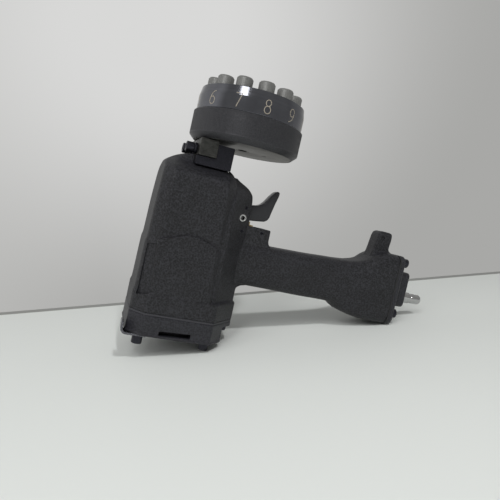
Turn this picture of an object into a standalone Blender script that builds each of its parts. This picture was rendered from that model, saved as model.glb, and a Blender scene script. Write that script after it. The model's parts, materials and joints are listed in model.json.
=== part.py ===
"""Pneumatic marking gun with a turret of twelve number punches.

The gun is modelled in its own frame, under the empty gun_frame: the origin is on the
cylinder's axis at the feet of the rear cap, +Z runs along the cylinder to the punches and
+X runs along the handle. gun_frame then leans it as it stands on a bench, on two screw
heads of the rear cap and on the lower edge of the handle's end.
"""

import math

import bmesh
import bpy
import numpy as np
from mathutils import Matrix, Vector

# Clearances
FIT = 0.0003
RUNNING_GAP = 0.0004
OVERRUN = 0.002
CUT_TURN = 0.03
MERGE = 0.00001

# Screws and pins
HEAD_RADIUS = 0.0052
HEAD_HEIGHT = 0.008
SHANK_RADIUS = 0.003
HEX_RADIUS = 0.0029
HEX_DEPTH = 0.0035
SMALL_HEAD_RADIUS = 0.005
SMALL_HEAD_HEIGHT = 0.006
SMALL_SHANK_RADIUS = 0.0025
SMALL_HEX_RADIUS = 0.0029
SMALL_HEX_DEPTH = 0.003
CAP_SCREW_LENGTH = 0.042
FRONT_SCREW_LENGTH = 0.021
END_SCREW_LENGTH = 0.02
ROLL_PIN_RADIUS = 0.0016
ROLL_PIN_BORE = 0.0008

# Rear cap and its gasket
CAP_HEIGHT = 0.0205
CAP_TONGUE_STEP = 0.0155
CAP_TONGUE_LENGTH = 0.0113
CAP_EDGE = 0.0015
CAP_GUIDE_RADIUS = 0.016
CAP_GUIDE_HEIGHT = 0.017
CAP_GUIDE_BORE = 0.009
CAP_RECESS_DEPTH = 0.008
GASKET_THICKNESS = 0.001
EXHAUST_LENGTH = 0.031
EXHAUST_HEIGHT = 0.0042
EXHAUST_DEPTH = 0.012
EXHAUST_RISE = 0.0022
EXHAUST_OFFSET = 0.005
SCREW_REAR_X = -0.028
SCREW_FRONT_X = 0.038
SCREW_SIDE_Y = 0.033
SCREW_TONGUE_X = 0.0639
CLIP_THICKNESS = 0.0023
CLIP_WIDTH = 0.014
CLIP_REACH = 0.0045
CLIP_RISE = 0.0125
CLIP_RADIUS = 0.006

# Cast housing
HOUSING_LENGTH = 0.1588
BAND_HEIGHT = 0.0185
PANEL_HEIGHT = 0.0535
HOUSING_HALF_X = 0.0415
HOUSING_HALF_Y = 0.0465
HOUSING_CHAMFER = 0.014
CHAMBER_REACH = 0.0665
CHAMBER_CHAMFER_X = 0.026
CHAMBER_CHAMFER_Y = 0.033
PANEL_STEP = 0.002
PANEL_HALF_LENGTH = 0.032
CYLINDER_BORE = 0.0335
BORE_TOP_WALL = 0.0368
CYLINDER_BORE_DEPTH = HOUSING_LENGTH - BORE_TOP_WALL
ROD_PASSAGE = 0.0056
EDGE_ROUND = 0.002

# Handle and its end
HANDLE_AXIS_Z = 0.091
HANDLE_HALF_HEIGHT = 0.0228
HANDLE_HALF_WIDTH = 0.019
HANDLE_START_X = 0.05
FLANGE_X = 0.2412
FLANGE_HALF_HEIGHT = 0.0398
FLANGE_HALF_WIDTH = 0.028
FLANGE_CENTRE_Z = 0.0952
AIR_PASSAGE_RADIUS = 0.0125
FILLET_RADIUS = 0.011
LUG_X = 0.2256
LUG_HALF_LENGTH = 0.0092
LUG_HALF_WIDTH = 0.009
LUG_TOP_Z = 0.158
LUG_DIMPLE_RADIUS = 0.0026
LUG_DIMPLE_DEPTH = 0.0012
END_CAP_THICKNESS = 0.005
END_CAP_ROUND = 0.009
END_BOSS_HEIGHT = 0.0174
END_BOSS_HALF_Z = 0.0203
END_BOSS_HALF_Y = 0.016
END_BOSS_Z = 0.097
END_SCREW_Y = 0.0195
END_SCREW_Z = 0.0294
END_SCREW_CENTRE_Z = 0.0984
INLET_Z = 0.0875
PLUG_COLLAR_RADIUS = 0.0064
PLUG_COLLAR_LENGTH = 0.0144
PLUG_NECK_RADIUS = 0.0046
PLUG_NECK_LENGTH = 0.0016
PLUG_NOSE_RADIUS = 0.0057
PLUG_NOSE_LENGTH = 0.0135
PLUG_BORE_RADIUS = 0.0036
PLUG_THREAD_RADIUS = 0.0055

# Trigger valve block on the housing
BLOCK_TOP_Z = 0.131
BLOCK_REACH_X = 0.088
BLOCK_HALF_WIDTH = 0.0145
VALVE_X = 0.065
VALVE_BODY_RADIUS = 0.007
VALVE_BODY_LENGTH = 0.03
STEM_RADIUS = 0.0024
STEM_PROUD = 0.0047
STEM_FLANGE_RADIUS = 0.0046
STEM_TRAVEL = 0.0029
VALVE_SPRING_WIRE = 0.0004
TRIGGER_PIVOT_X = 0.052
TRIGGER_PIVOT_RISE = 0.007
TRIGGER_PIVOT_Z = BLOCK_TOP_Z + TRIGGER_PIVOT_RISE
TRIGGER_HALF_WIDTH = 0.0058
TRIGGER_REACH = 0.0395
TRIGGER_RISE = 0.0355
SLOT_DEPTH = 0.0035
SLOT_HEIGHT = 0.03
SLOT_FLOOR_Z = BLOCK_TOP_Z - SLOT_DEPTH
SLOT_ROOF_Z = SLOT_FLOOR_Z + SLOT_HEIGHT
SLOT_BACK_X = 0.0435
SLEEVE_RADIUS = 0.0038
SLEEVE_BORE = 0.0021
SLEEVE_HALF_LENGTH = 0.027
ROLL_PIN_PLACES = ((0.0545, 0.0175), (0.0545, -0.0065), (0.0785, -0.0048))
ROLL_PINS_XZ = tuple((x, BLOCK_TOP_Z + rise) for x, rise in ROLL_PIN_PLACES)
ROLL_PIN_HALF_LENGTHS = (0.0225, 0.0265, 0.0142)

# Cylinder, piston and head valve
SLEEVE_OUTER = 0.030
SLEEVE_INNER = 0.0265
SLEEVE_SHORTENING = 0.026
SLEEVE_LENGTH = CYLINDER_BORE_DEPTH - SLEEVE_SHORTENING
BUMPER_HEIGHT = 0.014
BUMPER_BORE = 0.009
PISTON_RADIUS = 0.0261
PISTON_HEIGHT = 0.016
PISTON_REAR_ROOM = 0.01
PISTON_STROKE = SLEEVE_LENGTH - PISTON_HEIGHT - PISTON_REAR_ROOM
PISTON_RING_WIRE = 0.0014
ROD_RADIUS = 0.004
ROD_TIP_GAP = 0.0006
HEAD_VALVE_RADIUS = 0.0318
HEAD_VALVE_BORE = 0.0165
HEAD_VALVE_HEIGHT = 0.006
HEAD_VALVE_TRAVEL = 0.004
HEAD_SPRING_WIRE = 0.001
HEAD_SPRING_RADIUS = 0.023
HEAD_SPRING_TURNS = 2.5

# Nose block and bracket under the turret
NOSE_POCKET_DEPTH = 0.0133
NOSE_FOOT_HEIGHT = 0.012
NOSE_FOOT_LEFT = -0.008
NOSE_RIGHT = 0.0286
NOSE_HALF_Y = 0.016
NOSE_UPRIGHT_HEIGHT = 0.0145
BRACKET_LEFT = -0.0068
BRACKET_RIGHT = 0.0113
BRACKET_HALF_Y = 0.03
BRACKET_HEIGHT = 0.0173
BRACKET_EDGE = 0.0008
BRACKET_SCREW_Y = 0.0122
BRACKET_SCREW_DROP = 0.0105
BRACKET_WASHER_RADIUS = 0.0057
BRACKET_WASHER_THICKNESS = 0.0026
BRACKET_SCREW_LENGTH = 0.033
ROD_GUIDE_RADIUS = 0.0043

# Turret
PUNCH_COUNT = 12
KNURLED_RADIUS = 0.0575
KNURLED_HEIGHT = 0.029
KNURLED_CHAMFER_X = 0.0057
KNURLED_CHAMFER_Z = 0.005
KNURLED_LIP = 0.0008
KNURLED_STEP = 0.002
KNURLED_RIM = 0.0005
DIGIT_RING_RADIUS = KNURLED_RADIUS - KNURLED_STEP
DIGIT_RING_HEIGHT = 0.0233
DIGIT_RING_CONE_X = 0.0016
DIGIT_RING_CONE_Z = 0.009
DIGIT_RING_WALL = 0.0054
PUNCH_INSET = 0.0135
PUNCH_CIRCLE = DIGIT_RING_RADIUS - PUNCH_INSET
PUNCH_HEAD_SHARE = 0.193
PUNCH_SHANK_SHARE = 0.69
PUNCH_HEAD_RADIUS = PUNCH_CIRCLE * PUNCH_HEAD_SHARE
PUNCH_SHANK_RADIUS = PUNCH_HEAD_RADIUS * PUNCH_SHANK_SHARE
PUNCH_PROUD = 0.0106
PUNCH_EDGE = 0.0014
PUNCH_TRAVEL = 0.004
DIGIT_RING_INNER = PUNCH_CIRCLE - PUNCH_HEAD_RADIUS - DIGIT_RING_WALL
PLATE_RADIUS = KNURLED_RADIUS - KNURLED_CHAMFER_X - KNURLED_RIM
PLATE_THICKNESS = 0.0085
PLATE_HOLE_RADIUS = PUNCH_SHANK_RADIUS + RUNNING_GAP
KEEPER_WIRE = 0.0015
AXLE_RADIUS = 0.008
AXLE_HEAD_RADIUS = 0.0135
AXLE_HEAD_HEIGHT = 0.006
AXLE_FOOT_RADIUS = 0.0065
AXLE_SLOT_LENGTH = 0.011
AXLE_SLOT_WIDTH = 0.0016
AXLE_SLOT_DEPTH = 0.0014
DETENT_CIRCLE = 0.024
DETENT_BALL_RADIUS = 0.0023
DETENT_BORE = 0.0027
DETENT_DIMPLE_RADIUS = 0.003
DETENT_SCREW_LENGTH = 0.002
DETENT_SPRING_WIRE = 0.00025

# Levels along the cylinder's axis, from the feet of the rear cap
CAP_UNDER_Z = HEAD_HEIGHT + FIT
CAP_TOP_Z = CAP_UNDER_Z + CAP_HEIGHT
GASKET_Z = CAP_TOP_Z + FIT
HOUSING_Z = GASKET_Z + GASKET_THICKNESS + FIT
HOUSING_TOP_Z = HOUSING_Z + HOUSING_LENGTH
BAND_TOP_Z = HOUSING_Z + BAND_HEIGHT
BORE_TOP_Z = HOUSING_Z + CYLINDER_BORE_DEPTH
NOSE_POCKET_Z = HOUSING_TOP_Z - NOSE_POCKET_DEPTH
NOSE_Z = NOSE_POCKET_Z + FIT
NOSE_STEP_Z = NOSE_Z + NOSE_FOOT_HEIGHT
NOSE_TOP_Z = NOSE_STEP_Z + NOSE_UPRIGHT_HEIGHT
BRACKET_Z = NOSE_STEP_Z + FIT
BRACKET_TOP_Z = BRACKET_Z + BRACKET_HEIGHT
BRACKET_SCREW_Z = BRACKET_TOP_Z - BRACKET_SCREW_DROP
PLATE_Z = BRACKET_TOP_Z + FIT
PLATE_TOP_Z = PLATE_Z + PLATE_THICKNESS
KNURLED_Z = PLATE_Z
KNURLED_TOP_Z = KNURLED_Z + KNURLED_HEIGHT
POCKET_ROOF_Z = PLATE_TOP_Z + RUNNING_GAP
DIGIT_RING_Z = KNURLED_TOP_Z + FIT
DIGIT_RING_TOP_Z = DIGIT_RING_Z + DIGIT_RING_HEIGHT
PUNCH_SHOULDER_Z = KNURLED_TOP_Z + FIT
PUNCH_TOP_Z = DIGIT_RING_TOP_Z + PUNCH_PROUD
PUNCH_FOOT_Z = POCKET_ROOF_Z + FIT
BUMPER_Z = BORE_TOP_Z - BUMPER_HEIGHT - FIT
SLEEVE_Z = BUMPER_Z - FIT - SLEEVE_LENGTH
SLEEVE_TOP_Z = SLEEVE_Z + SLEEVE_LENGTH
HEAD_VALVE_TOP_Z = SLEEVE_Z - FIT
HEAD_VALVE_Z = HEAD_VALVE_TOP_Z - HEAD_VALVE_HEIGHT
PISTON_TOP_Z = BUMPER_Z - PISTON_STROKE - FIT
PISTON_Z = PISTON_TOP_Z - PISTON_HEIGHT
ROD_TIP_Z = PUNCH_FOOT_Z - ROD_TIP_GAP - PISTON_STROKE
VALVE_BODY_TOP_Z = BLOCK_TOP_Z - FIT
VALVE_BODY_Z = VALVE_BODY_TOP_Z - VALVE_BODY_LENGTH
END_CAP_X = FLANGE_X + GASKET_THICKNESS + FIT + FIT
END_FACE_X = END_CAP_X + END_CAP_THICKNESS
INLET_FACE_X = END_FACE_X + END_BOSS_HEIGHT
TURRET_X = PUNCH_CIRCLE
FOOT_EDGE_X = SCREW_FRONT_X + HEAD_RADIUS
END_FOOT_Z = FLANGE_CENTRE_Z - FLANGE_HALF_HEIGHT

# Outlines as shares of the sizes that they follow: height, left reach, right reach, half
# depth and corner of each section of the cylinder's casing
CASING_SHARES = (
    (0.000, 1.00, 1.11, 1.00, 1.00),
    (0.116, 1.00, 1.11, 1.00, 1.00),
    (0.126, 0.975, 1.05, 0.96, 0.92),
    (0.426, 0.95, 1.03, 0.955, 0.88),
    (0.440, 0.93, 0.99, 0.925, 0.80),
    (0.656, 0.908, 0.94, 0.92, 0.74),
    (0.865, 0.868, 0.88, 0.91, 0.66),
    (0.925, 0.84, 0.86, 0.56, 0.58),
    (0.957, 0.70, 0.74, 0.38, 0.48),
    (0.985, 0.50, 0.56, 0.34, 0.38),
    (1.000, 0.34, 0.45, 0.32, 0.34),
)
# Height, reach, half depth, corner along X and corner along Y of the air chamber
CHAMBER_SHARES = (
    (0.000, 1.00, 1.00, 1.00, 1.00),
    (0.116, 1.00, 1.00, 1.00, 1.00),
    (0.126, 0.967, 0.90, 1.00, 0.875),
    (0.450, 0.962, 0.86, 1.00, 0.833),
    (0.760, 0.938, 0.76, 0.92, 0.706),
    (0.823, 0.919, 0.68, 0.865, 0.606),
    (0.865, 0.839, 0.60, 0.75, 0.512),
    (0.908, 0.651, 0.49, 0.52, 0.375),
    (0.923, 0.603, 0.45, 0.42, 0.30),
    (0.938, 0.586, 0.42, 0.38, 0.26),
    (0.957, 0.496, 0.40, 0.34, 0.23),
    (0.985, 0.45, 0.36, 0.25, 0.18),
)
# Distance along the handle, half height, half width, rise of the centre and squareness
HANDLE_SHARES = (
    (0.000, 1.00, 1.00, 0.00, 0.30),
    (0.157, 1.00, 1.00, 0.00, 0.30),
    (0.424, 1.035, 0.97, 0.02, 0.30),
    (0.617, 1.068, 0.98, 0.226, 0.32),
    (0.659, 1.092, 1.00, 0.21, 0.33),
    (0.701, 1.215, 1.06, -0.31, 0.38),
    (0.732, 1.283, 1.12, -0.536, 0.43),
    (0.779, 1.375, 1.21, -0.56, 0.50),
    (0.821, 1.469, 1.29, -0.357, 0.56),
    (0.858, 1.605, 1.36, 0.214, 0.62),
    (0.900, 1.71, 1.42, 0.714, 0.68),
    (0.941, 1.754, 1.46, 0.952, 0.72),
    (1.000, 1.746, 1.474, 1.00, 0.75),
)
# Trigger outline from its pivot, in shares of its reach and its rise
TRIGGER_SHARES = (
    (-0.165, -0.08), (-0.165, 0.10), (-0.08, 0.20), (0.21, 0.21), (0.30, 0.43),
    (0.46, 0.45), (0.57, 0.51), (0.66, 0.62), (0.76, 0.80), (0.86, 0.94), (0.94, 1.00),
    (1.00, 0.97), (0.995, 0.86), (0.94, 0.62), (0.885, 0.33), (0.86, 0.17),
    (0.82, 0.08), (0.74, 0.02), (0.56, -0.01), (0.33, -0.04), (0.13, -0.12), (-0.05, -0.18),
)
# Top edge of the raised side panel, in shares of its half length and of the panel step
PANEL_EDGE_SHARES = (
    (-0.86, 0.00), (-0.62, 0.02), (-0.03, 0.17), (0.45, 0.17), (0.78, 0.09), (1.02, 0.04),
)
# Outline of the lug at the handle's end, in shares of its half length and its rise
LUG_SHARES = (
    (-2.10, -0.02), (-1.54, 0.13), (-1.21, 0.39), (-0.96, 0.85), (-0.79, 0.96), (-0.46, 1.00),
    (0.71, 0.99), (0.96, 0.95), (1.00, 0.80), (0.92, 0.49), (1.46, 0.39), (1.46, 0.00),
)

MATERIALS = {
    "cast_black": ((0.032, 0.033, 0.036), 0.62, 0.1),
    "cap_black": ((0.040, 0.041, 0.044), 0.58, 0.1),
    "black_oxide": ((0.050, 0.050, 0.058), 0.38, 0.8),
    "turret_steel": ((0.048, 0.050, 0.052), 0.42, 0.9),
    "blued_steel": ((0.024, 0.025, 0.036), 0.22, 0.9),
    "punch_steel": ((0.075, 0.076, 0.078), 0.48, 0.9),
    "brushed_plate": ((0.150, 0.150, 0.145), 0.42, 0.9),
    "bracket_steel": ((0.090, 0.090, 0.086), 0.46, 0.9),
    "bright_steel": ((0.560, 0.560, 0.550), 0.20, 1.0),
    "brass": ((0.520, 0.400, 0.190), 0.30, 1.0),
    "aluminium": ((0.500, 0.510, 0.520), 0.40, 1.0),
    "rubber": ((0.020, 0.020, 0.020), 0.80, 0.0),
    "spring_steel": ((0.300, 0.300, 0.310), 0.30, 1.0),
    "trigger_black": ((0.030, 0.031, 0.037), 0.40, 0.3),
}


def clear_scene():
    for obj in list(bpy.data.objects):
        bpy.data.objects.remove(obj, do_unlink=True)


def make_collection(name):
    collection = bpy.data.collections.new(name)
    bpy.context.scene.collection.children.link(collection)
    return collection


def make_material(name):
    colour, roughness, metallic = MATERIALS[name]
    material = bpy.data.materials.new(name)
    material.use_nodes = True
    shader = material.node_tree.nodes["Principled BSDF"]
    shader.inputs["Base Color"].default_value = (*colour, 1.0)
    shader.inputs["Roughness"].default_value = roughness
    shader.inputs["Metallic"].default_value = metallic
    return material


clear_scene()
parts = make_collection("marking_gun")
cutters = make_collection("cutters")
materials = {name: make_material(name) for name in MATERIALS}


def make_empty(name, location=(0, 0, 0), parent=None):
    empty = bpy.data.objects.new(name, None)
    empty.location = location
    empty.parent = parent
    empty.empty_display_size = HEAD_RADIUS
    parts.objects.link(empty)
    return empty


gun_frame = make_empty("gun_frame")


def place(name, mesh, material, location=(0, 0, 0), rotation=(0, 0, 0), parent=None):
    """A part where a material is named, and a cutter, left out of renders, where none is."""
    obj = bpy.data.objects.new(name, mesh)
    obj.location = location
    obj.rotation_euler = rotation
    obj.parent = parent or gun_frame
    if material is None:
        obj.hide_render = True
        obj.display_type = "WIRE"
        cutters.objects.link(obj)
    else:
        mesh.materials.append(materials[material])
        parts.objects.link(obj)
    return obj


def finish_mesh(bm, name):
    bmesh.ops.remove_doubles(bm, verts=bm.verts[:], dist=MERGE)
    bmesh.ops.recalc_face_normals(bm, faces=bm.faces[:])
    mesh = bpy.data.meshes.new(name)
    bm.to_mesh(mesh)
    bm.free()
    mesh.shade_smooth()
    mesh.set_sharp_from_angle(angle=math.radians(35))
    return mesh


def cylinder(radius, length, sides=32):
    """A closed cylinder that stands on its own origin."""
    bm = bmesh.new()
    bmesh.ops.create_cone(bm, cap_ends=True, segments=sides, radius1=radius, radius2=radius,
                          depth=length)
    bmesh.ops.translate(bm, verts=bm.verts[:], vec=(0, 0, length / 2))
    return finish_mesh(bm, "cylinder")


def box(low, high, bevel=0.0, segments=2):
    """A box between two corners, with rounded edges where a bevel is given."""
    bm = bmesh.new()
    bmesh.ops.create_cube(bm, size=1)
    span = [b - a for a, b in zip(low, high)]
    centre = [(a + b) / 2 for a, b in zip(low, high)]
    bmesh.ops.transform(bm, verts=bm.verts[:],
                        matrix=Matrix.Translation(centre) @ Matrix.Diagonal((*span, 1)))
    if bevel:
        bmesh.ops.bevel(bm, geom=bm.edges[:], offset=bevel, segments=segments, affect="EDGES")
    return finish_mesh(bm, "box")


def flat_prism(outline, low, high, axis="Y"):
    """A flat curve outline, filled and extruded along an axis between two levels."""
    curve = bpy.data.curves.new("outline", "CURVE")
    curve.dimensions = "2D"
    curve.fill_mode = "BOTH"
    curve.extrude = (high - low) / 2
    spline = curve.splines.new("POLY")
    spline.points.add(len(outline) - 1)
    for point, (u, v) in zip(spline.points, outline):
        point.co = (u, v, 0, 1)
    spline.use_cyclic_u = True
    helper = bpy.data.objects.new("outline", curve)
    parts.objects.link(helper)
    graph = bpy.context.evaluated_depsgraph_get()
    mesh = bpy.data.meshes.new_from_object(helper.evaluated_get(graph))
    bpy.data.objects.remove(helper, do_unlink=True)
    bpy.data.curves.remove(curve)
    bm = bmesh.new()
    bm.from_mesh(mesh)
    bpy.data.meshes.remove(mesh)
    middle = (low + high) / 2
    turns = {
        "X": Matrix(((0, 0, 1, middle), (1, 0, 0, 0), (0, 1, 0, 0), (0, 0, 0, 1))),
        "Y": Matrix(((1, 0, 0, 0), (0, 0, 1, middle), (0, 1, 0, 0), (0, 0, 0, 1))),
        "Z": Matrix.Translation((0, 0, middle)),
    }
    bmesh.ops.transform(bm, verts=bm.verts[:], matrix=turns[axis])
    return finish_mesh(bm, "prism")


def loft(sections):
    """A skin over rings of equally many points, closed by a face at each end."""
    bm = bmesh.new()
    rings = [[bm.verts.new(point) for point in section] for section in sections]
    count = len(rings[0])
    for lower, upper in zip(rings, rings[1:]):
        for i in range(count):
            j = (i + 1) % count
            bm.faces.new((lower[i], lower[j], upper[j], upper[i]))
    bm.faces.new(rings[0])
    bm.faces.new(rings[-1])
    return finish_mesh(bm, "loft")


def turned(name, profile, material, steps=48, location=(0, 0, 0), rotation=(0, 0, 0),
           parent=None):
    """A profile of (radius, height) points, given down the outer side, turned about Z."""
    bm = bmesh.new()
    points = [bm.verts.new((radius, 0, height)) for radius, height in profile]
    pairs = list(zip(points, points[1:]))
    if profile[0][0] > MERGE or profile[-1][0] > MERGE:
        pairs.append((points[-1], points[0]))
    for first, second in pairs:
        bm.edges.new((first, second))
    mesh = bpy.data.meshes.new(name)
    bm.to_mesh(mesh)
    bm.free()
    obj = place(name, mesh, material, location, rotation, parent)
    screw = obj.modifiers.new("Turn", "SCREW")
    screw.steps = steps
    screw.render_steps = steps
    screw.use_merge_vertices = True
    screw.merge_threshold = MERGE
    screw.use_smooth_shade = True
    return obj


def combine(target, operation, *others):
    for other in others:
        boolean = target.modifiers.new(other.name, "BOOLEAN")
        boolean.operation = operation
        boolean.object = other
    return target


def octagon(left, right, half_depth, corner_x, corner_y, height, square_left=False):
    """Corners of an eight-sided section at one height, in order round it."""
    left_corner = MERGE * 2 if square_left else corner_x
    left_rise = MERGE * 2 if square_left else corner_y
    return [
        (-left, -half_depth + left_rise, height), (-left + left_corner, -half_depth, height),
        (right - corner_x, -half_depth, height), (right, -half_depth + corner_y, height),
        (right, half_depth - corner_y, height), (right - corner_x, half_depth, height),
        (-left + left_corner, half_depth, height), (-left, half_depth - left_rise, height),
    ]


def superellipse(x, centre_z, half_height, half_width, square, sides=32):
    """A ring round the X axis: square 0 gives an ellipse and 1 a box with round corners."""
    power = 2 / (2 + 6 * square)
    ring = []
    for i in range(sides):
        turn = 2 * math.pi * (i + 0.5) / sides
        c, s = math.cos(turn), math.sin(turn)
        ring.append((x, math.copysign(abs(c) ** power, c) * half_width,
                     centre_z + math.copysign(abs(s) ** power, s) * half_height))
    return ring


def rounded_rectangle(half_u, half_v, radius, centre_u=0.0, centre_v=0.0, steps=5):
    points = []
    for corner, (su, sv) in enumerate(((1, 1), (-1, 1), (-1, -1), (1, -1))):
        for i in range(steps + 1):
            turn = math.pi / 2 * (corner + i / steps)
            points.append((centre_u + su * (half_u - radius) + radius * math.cos(turn),
                           centre_v + sv * (half_v - radius) + radius * math.sin(turn)))
    return points


def cross_hole(name, radius, x, z, half_length, sides=20):
    """A cutter along Y."""
    return place(name, cylinder(radius, 2 * half_length, sides), None,
                 (x, half_length, z), (math.pi / 2, 0, 0))


def long_hole(name, radius, start_x, end_x, y, z, sides=24):
    """A cutter along X."""
    return place(name, cylinder(radius, end_x - start_x, sides), None,
                 (start_x, y, z), (0, math.pi / 2, 0))


def coil(name, radius, wire, height, turns, material, location, parent=None, points_a_turn=10):
    """A helical spring that stands on its location, its wire's ends cut square."""
    curve = bpy.data.curves.new(name, "CURVE")
    curve.dimensions = "3D"
    curve.bevel_depth = wire
    curve.bevel_resolution = 1
    curve.use_fill_caps = True
    count = int(turns * points_a_turn) + 1
    spline = curve.splines.new("POLY")
    spline.points.add(count - 1)
    rise = height - 2 * wire
    for i, point in enumerate(spline.points):
        share = i / (count - 1)
        turn = 2 * math.pi * turns * share
        point.co = (radius * math.cos(turn), radius * math.sin(turn), wire + rise * share, 1)
    obj = bpy.data.objects.new(name, curve)
    obj.location = location
    obj.parent = parent or gun_frame
    curve.materials.append(materials[material])
    parts.objects.link(obj)
    return obj


def socket_screw(name, head_radius, head_height, shank_radius, length, hex_radius, hex_depth,
                 location, rotation):
    """A socket screw whose shank runs along its own +Z from the underside of its head."""
    edge = head_height * 0.12
    screw = turned(name, [
        (0, length), (shank_radius, length - edge), (shank_radius, 0), (head_radius, 0),
        (head_radius, -head_height + edge),
        (head_radius - edge, -head_height), (0, -head_height),
    ], "black_oxide", 16, location, rotation)
    socket = place(name + "_socket", cylinder(hex_radius, hex_depth + OVERRUN, 6), None,
                   location, rotation)
    socket.data.transform(Matrix.Translation((0, 0, -head_height - OVERRUN)))
    return combine(screw, "DIFFERENCE", socket)


def casing_sections():
    sections = []
    for height, left, right, depth, corner in CASING_SHARES:
        cut = HOUSING_CHAMFER * corner
        sections.append(octagon(HOUSING_HALF_X * left, HOUSING_HALF_X * right,
                                HOUSING_HALF_Y * depth, cut, cut,
                                HOUSING_Z + HOUSING_LENGTH * height))
    return sections


def chamber_sections(shares=CHAMBER_SHARES, base=HOUSING_Z, height=HOUSING_LENGTH):
    sections = []
    for level, reach, depth, corner_x, corner_y in shares:
        sections.append(octagon(0, CHAMBER_REACH * reach, HOUSING_HALF_Y * depth,
                                CHAMBER_CHAMFER_X * corner_x, CHAMBER_CHAMFER_Y * corner_y,
                                base + height * level, square_left=True))
    return sections


def handle_sections():
    length = FLANGE_X - HANDLE_START_X
    rise = FLANGE_CENTRE_Z - HANDLE_AXIS_Z
    return [
        superellipse(HANDLE_START_X + length * along, HANDLE_AXIS_Z + rise * lift,
                     HANDLE_HALF_HEIGHT * tall, HANDLE_HALF_WIDTH * wide, square)
        for along, tall, wide, lift, square in HANDLE_SHARES
    ]


def side_panel(name, side):
    """The raised panel on one side of the casing, from the lower band to its curved top."""
    middle = BAND_TOP_Z + PANEL_HEIGHT
    top = [(PANEL_HALF_LENGTH * u, middle + PANEL_HEIGHT * v) for u, v in PANEL_EDGE_SHARES]
    foot = BAND_TOP_Z - PANEL_STEP
    outline = top + [(PANEL_HALF_LENGTH, foot),
                     (PANEL_HALF_LENGTH * PANEL_EDGE_SHARES[0][0], foot)]
    outer = HOUSING_HALF_Y - PANEL_STEP / 8
    inner = HOUSING_HALF_Y * 0.8
    low, high = (-outer, -inner) if side < 0 else (inner, outer)
    return place(name, flat_prism(outline, low, high), None)


def handle_fillet():
    """The round corner between the air chamber and the underside of the handle."""
    left = CHAMBER_REACH * 0.94
    low = HANDLE_AXIS_Z - HANDLE_HALF_HEIGHT
    right = left + FILLET_RADIUS
    arc = [(right - FILLET_RADIUS * math.cos(math.pi / 2 * i / 6),
            low - FILLET_RADIUS + FILLET_RADIUS * math.sin(math.pi / 2 * i / 6))
           for i in range(7)]
    outline = arc + [(right, low + FILLET_RADIUS), (left - FILLET_RADIUS, low + FILLET_RADIUS),
                     (left - FILLET_RADIUS, low - FILLET_RADIUS)]
    half = HANDLE_HALF_WIDTH * 0.6
    return place("handle_fillet", flat_prism(outline, -half, half), None)


def end_lug():
    """The lug that stands up at the handle's end."""
    base = FLANGE_CENTRE_Z + FLANGE_HALF_HEIGHT * 0.6
    rise = LUG_TOP_Z - base
    outline = [(LUG_X + LUG_HALF_LENGTH * u, base + rise * v) for u, v in LUG_SHARES]
    mesh = flat_prism(outline, -LUG_HALF_WIDTH, LUG_HALF_WIDTH)
    return place("end_lug", mesh, None)


def trigger_block():
    outline = [
        (SLOT_BACK_X, HANDLE_AXIS_Z), (BLOCK_REACH_X + 2 * EDGE_ROUND, HANDLE_AXIS_Z),
        (BLOCK_REACH_X + 2 * EDGE_ROUND, BLOCK_TOP_Z - 8.75 * EDGE_ROUND),
        (BLOCK_REACH_X + EDGE_ROUND / 2, BLOCK_TOP_Z - 7.5 * EDGE_ROUND),
        (BLOCK_REACH_X, BLOCK_TOP_Z - 5.75 * EDGE_ROUND), (BLOCK_REACH_X, BLOCK_TOP_Z - EDGE_ROUND),
        (BLOCK_REACH_X - EDGE_ROUND / 2, BLOCK_TOP_Z), (SLOT_BACK_X, BLOCK_TOP_Z),
    ]
    return place("valve_block", flat_prism(outline, -BLOCK_HALF_WIDTH, BLOCK_HALF_WIDTH), None)


def round_edges(obj, width, segments=2, angle=40):
    bevel = obj.modifiers.new("Round", "BEVEL")
    bevel.width = width
    bevel.segments = segments
    bevel.limit_method = "ANGLE"
    bevel.angle_limit = math.radians(angle)
    return obj


SCREW_PLACES = [
    ("near_left", SCREW_REAR_X, -SCREW_SIDE_Y), ("far_left", SCREW_REAR_X, SCREW_SIDE_Y),
    ("near_right", SCREW_FRONT_X, -SCREW_SIDE_Y), ("far_right", SCREW_FRONT_X, SCREW_SIDE_Y),
    ("front", SCREW_TONGUE_X - HEAD_RADIUS / 2, 0),
]
END_SCREW_PLACES = [
    ("upper_near", -END_SCREW_Y, END_SCREW_CENTRE_Z + END_SCREW_Z),
    ("upper_far", END_SCREW_Y, END_SCREW_CENTRE_Z + END_SCREW_Z),
    ("lower_near", -END_SCREW_Y, END_SCREW_CENTRE_Z - END_SCREW_Z),
    ("lower_far", END_SCREW_Y, END_SCREW_CENTRE_Z - END_SCREW_Z),
]


def screw_hole(name, x, y, low, high):
    return place(name, cylinder(SHANK_RADIUS + FIT, high - low, 14), None, (x, y, low))


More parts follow.
